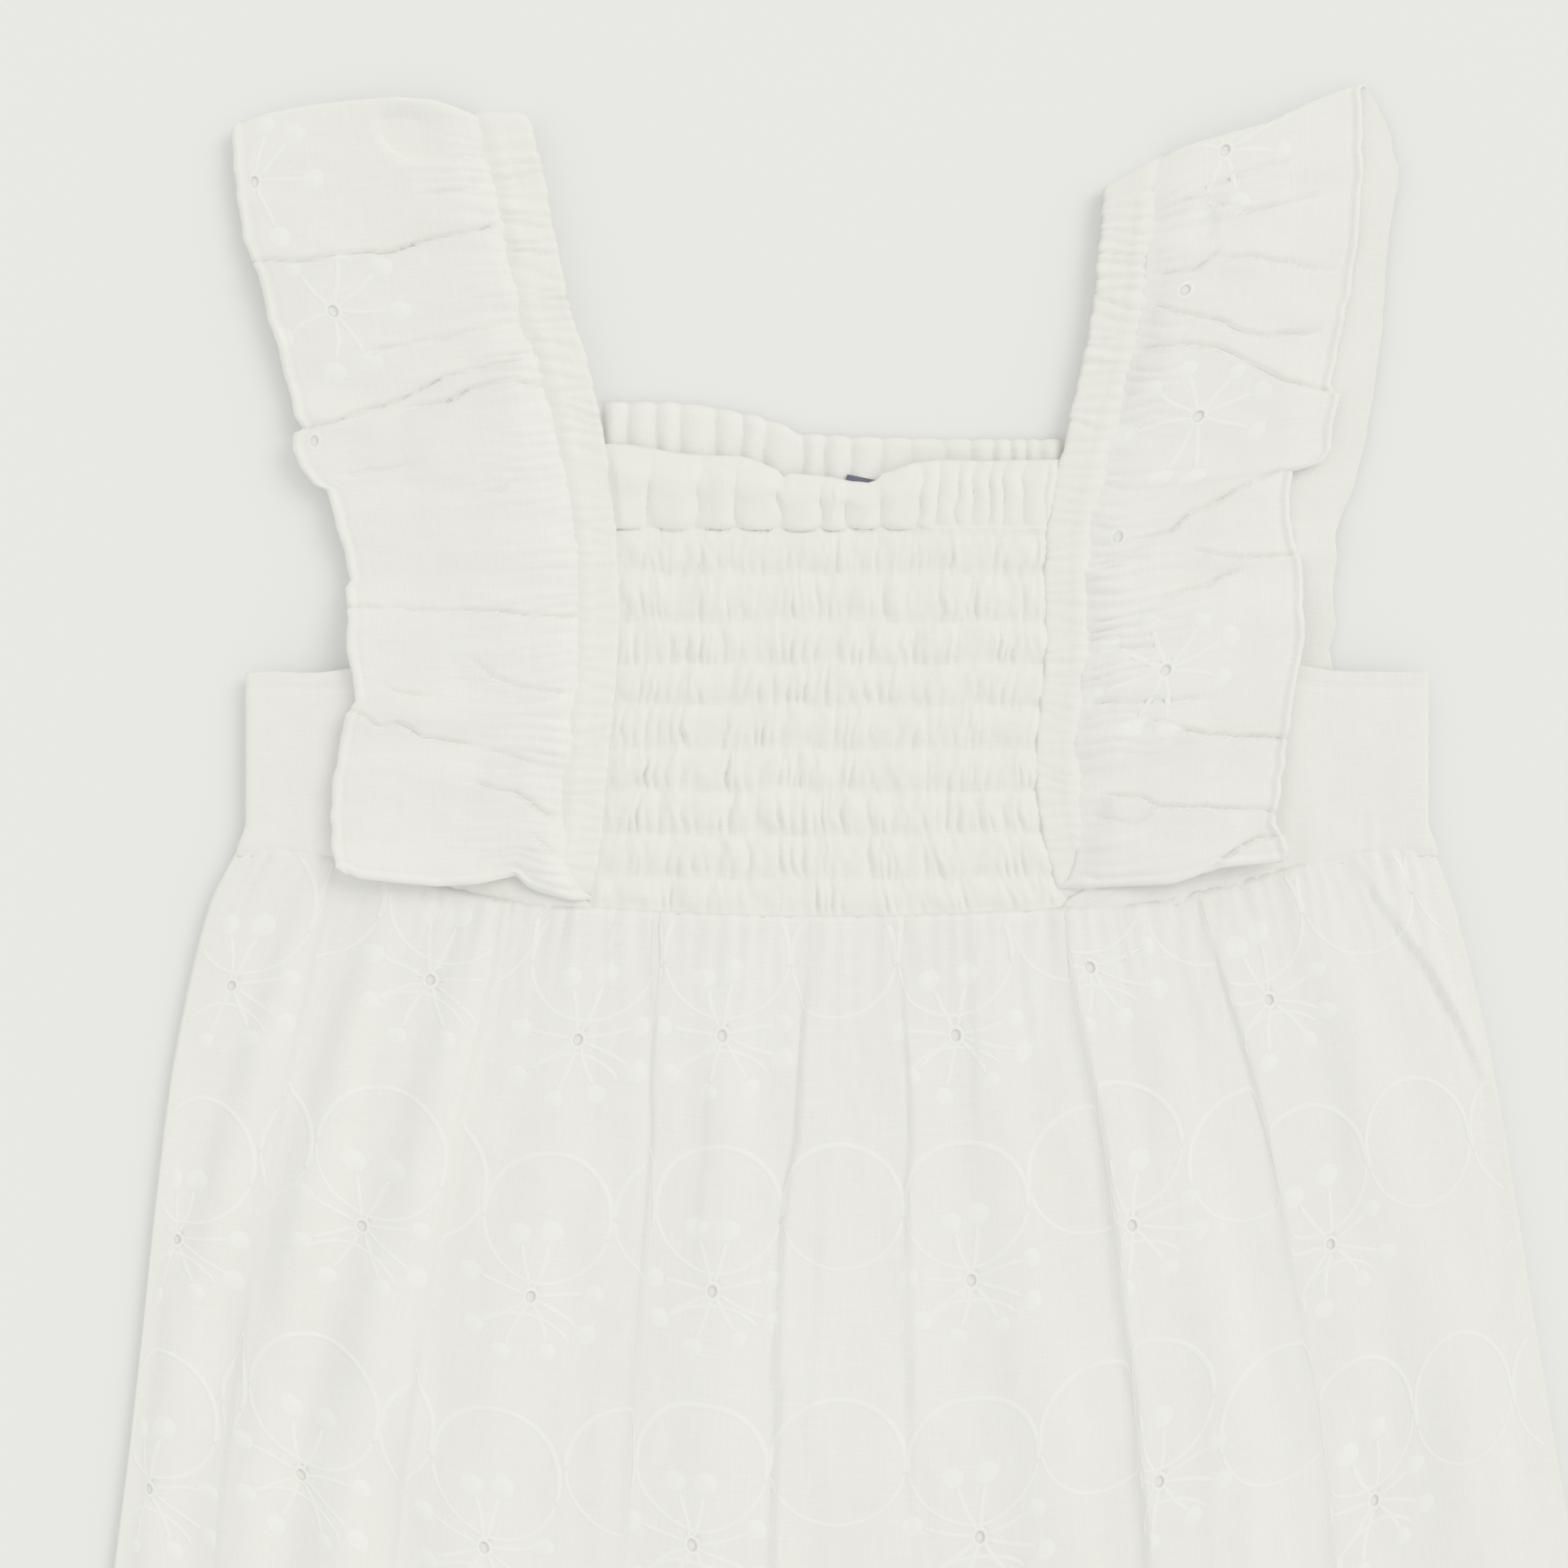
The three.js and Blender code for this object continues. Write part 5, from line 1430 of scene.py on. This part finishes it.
sideCloth = {
    "wall": 0.45,
    "rows": 64,
    "frontColumns": 78,
    "turnColumns": 8,
    "backColumns": 26,
    "hem": 3.4,
    "flare": [2.0, 0.2],    # how far its lower end spreads at the fold, and over which share of its length
    "reach": 9.5,           # its lower end reaches this far in, under the strap's
    "gathers": [0.5, 0.22],     # heights at the waist and at the armhole
    "creasing": [0.3, 0.12],
    "hemDip": 0.25,         # depth of the stitched line along the armhole's hem
    "lowerFold": 0.25,      # the fold's radius is this much more than half the height between the halves
    "down": 40.0,           # its length, for the gathers' fading
}


def makeSidePanel(side):
    # From under the front ruffle out to the side, round the fold and back under the garment. Gathers die
    # out exponentially from the waist and the armhole, and the fold is half an ellipse.
    spec = sideCloth
    seed = 161 if side == "left" else 171
    share = np.linspace(0, 1, spec["rows"])[:, None]
    lowTop, highTop = layer["sideBack"], layer["sideFront"]
    radius = (highTop - lowTop) / 2 + spec["lowerFold"]
    foldOut = cut["sideOut"][side] - radius
    inner = strapOuter(side, mix(strapWaist, cut["armholeUp"] + cut["armholeRise"], share)) + 0.4
    inner = inner - spec["reach"] * (1 - ramp(0.02, 0.14, share))

    def plan(flat):
        # Straight rows from the strap to the fold, and a flare that grows with the sixth power. The
        # armhole falls smoothly towards the fold.
        flare = spec["flare"][0] * (1 - ramp(0, spec["flare"][1], share)) * flat**6
        out = mix(inner, foldOut, flat) + flare
        high = cut["armholeUp"] + cut["armholeRise"] * (1 - ramp(55, 105, out))
        return out, mix(waistUp(out) - 0.9, high + 0.4 * softNoise(out / 7, 0.5, seed), share)

    out, y = plan(np.linspace(0, 1, spec["frontColumns"])[None, :])
    place = out / 3.1 + 0.4 * softNoise(out / 9, y / 12, seed + 1)
    drawn = gathers(place, (1 - share) * 36.0 / 15, seed + 2)
    fromWaist, fromArm = share * spec["down"], (1 - share) * spec["down"]
    atWaist, atArm = np.exp(-fromWaist / 11), np.exp(-fromArm / 6)
    tall = spec["gathers"][0] * atWaist + spec["gathers"][1] * atArm
    z = (highTop + drawn * tall * ramp(0, 0.06, share)
         + spec["creasing"][0] * softNoise(out / 9, y / 22, seed + 3)
         + spec["creasing"][1] * softNoise(out / 4, y / 6, seed + 4)
         - spec["hemDip"] * bell(fromArm - spec["hem"], 0.8) - 0.5 * (1 - ramp(0, 0.08, share)))
    front = spread(sign[side] * out, y, z)
    angle = np.linspace(0, math.pi, spec["turnColumns"] + 2)[None, 1:-1]
    outTurn = front[:, -1:, 0] * sign[side] + radius * np.sin(angle)
    zTurn = mix(front[:, -1:, 2], lowTop, (1 - np.cos(angle)) / 2)
    turn = spread(sign[side] * outTurn, front[:, -1:, 1], zTurn)
    out, y = plan(np.linspace(1, 0, spec["backColumns"])[None, :])
    back = spread(sign[side] * out, y, lowTop + 0.12 * softNoise(out / 6, y / 14, seed + 5))
    points = np.concatenate([front, turn, back], axis=1)
    sizes = [np.linspace(0, size / mm, n) for size, n in zip(laidSize(points), points.shape[1::-1])]
    coords = np.stack(np.meshgrid(*sizes), -1)
    piece = cloth("sidePanel" + side.capitalize(), points, coords, material["cotton"], spec["wall"],
                  flip=side == "left")
    declare(piece, "cotton", points, "folded", ["backBody"], "side_panel_" + side)


for side in ("left", "right"):
    makeSidePanel(side)
print("side panels made")


# Elastic leg bands

legCloth = {
    "wall": 0.5,
    "wide": 10.6,
    "columns": 13,
    "flatRows": 170,
    "turnRows": 8,
    "puckers": 40.0,
    "tall": 0.9,
    "elastics": [0.33, 0.67],
    "pinch": [0.8, 0.08],
    "low": 0.6,             # height of its back half
    "over": 1.0,            # how far it lies over the body's edge
    "clear": [0.012, 0.988],    # shares of the edge at which it starts and ends
    "frill": 0.5,
}


def legEdge(side, share):
    # The body's lower edge from the side seam, 0, to the crotch, 1.
    atSeam = 0.5 + sign[side] * 0.5
    atCrotch = 0.5 + sign[side] * cut["crotchHalf"] / sum(cut["seamOut"])
    across = mix(atSeam, atCrotch, mix(*legCloth["clear"], share))
    x, y = bodyPlan(across, np.ones_like(across))
    return np.stack([x, y], -1)


def makeLegBand(side):
    # A ring: the front edge of the opening, a half circle at the crotch, the back edge and another. Each
    # row runs square to the edge, and its height adds puckers that the elastics pinch.
    spec = legCloth
    seed = 181 if side == "left" else 191
    high, low = layer["legFront"], spec["low"]
    radius, middle = (high - low) / 2, (high + low) / 2
    share = np.linspace(0, 1, spec["flatRows"])
    turn = np.linspace(0, math.pi, spec["turnRows"] + 2)[1:-1]
    on, off = np.ones_like(share), np.zeros_like(share)
    onTurn, offTurn = np.ones_like(turn), np.zeros_like(turn)
    allShare = np.concatenate([share, onTurn, share[::-1], offTurn])
    beyond = np.concatenate([off, radius * np.sin(turn), off, -radius * np.sin(turn)])
    round_ = radius * np.cos(turn)
    heights = np.concatenate([high * on, middle + round_, low * on, middle - round_])
    edge = legEdge(side, allShare)
    step = 0.02
    ahead = legEdge(side, np.minimum(allShare + step, 1)) - legEdge(side, np.maximum(allShare - step, 0))
    ahead /= np.linalg.norm(ahead, axis=1, keepdims=True)
    away = np.stack([-ahead[:, 1], ahead[:, 0]], -1)
    away *= -np.sign(away[:, 1:2])
    across = np.linspace(0, 1, spec["columns"])[None, :]
    plan = edge[:, None] + away[:, None] * (across[..., None] * spec["wide"] - spec["over"])
    plan = plan + ahead[:, None] * beyond[:, None, None]
    pinch = pinchAt(across, spec["elastics"], *spec["pinch"])
    place = np.concatenate([share, 1 + offTurn, 2 - share, 2 + offTurn])[:, None] * spec["puckers"]
    onFlat = np.concatenate([on, offTurn, on, offTurn])[:, None]
    onFront = np.concatenate([on, offTurn, off, offTurn])[:, None]
    puckered = gathers(place, across * 1.6, seed) * pinch * mix(0.45, 1.0, onFront)
    z = heights[:, None] + onFlat * (puckered * spec["tall"] - 0.3) * mix(0.5, 1, onFront)
    frill = spec["frill"] * softNoise(place * 1.3, 0.5, seed + 2) * across ** 4
    points = np.concatenate([plan + away[:, None] * frill[..., None], z[..., None]], -1)
    piece = cloth("legBand" + side.capitalize(), points, clothPlaces(points, spec["wide"]),
                  material["elasticCotton"], spec["wall"], loop=True, flip=side == "right")
    declare(piece, "elastic_cotton", points, "gathered", ["floor"], "leg_band_" + side)


for side in ("left", "right"):
    makeLegBand(side)
print("leg bands made")
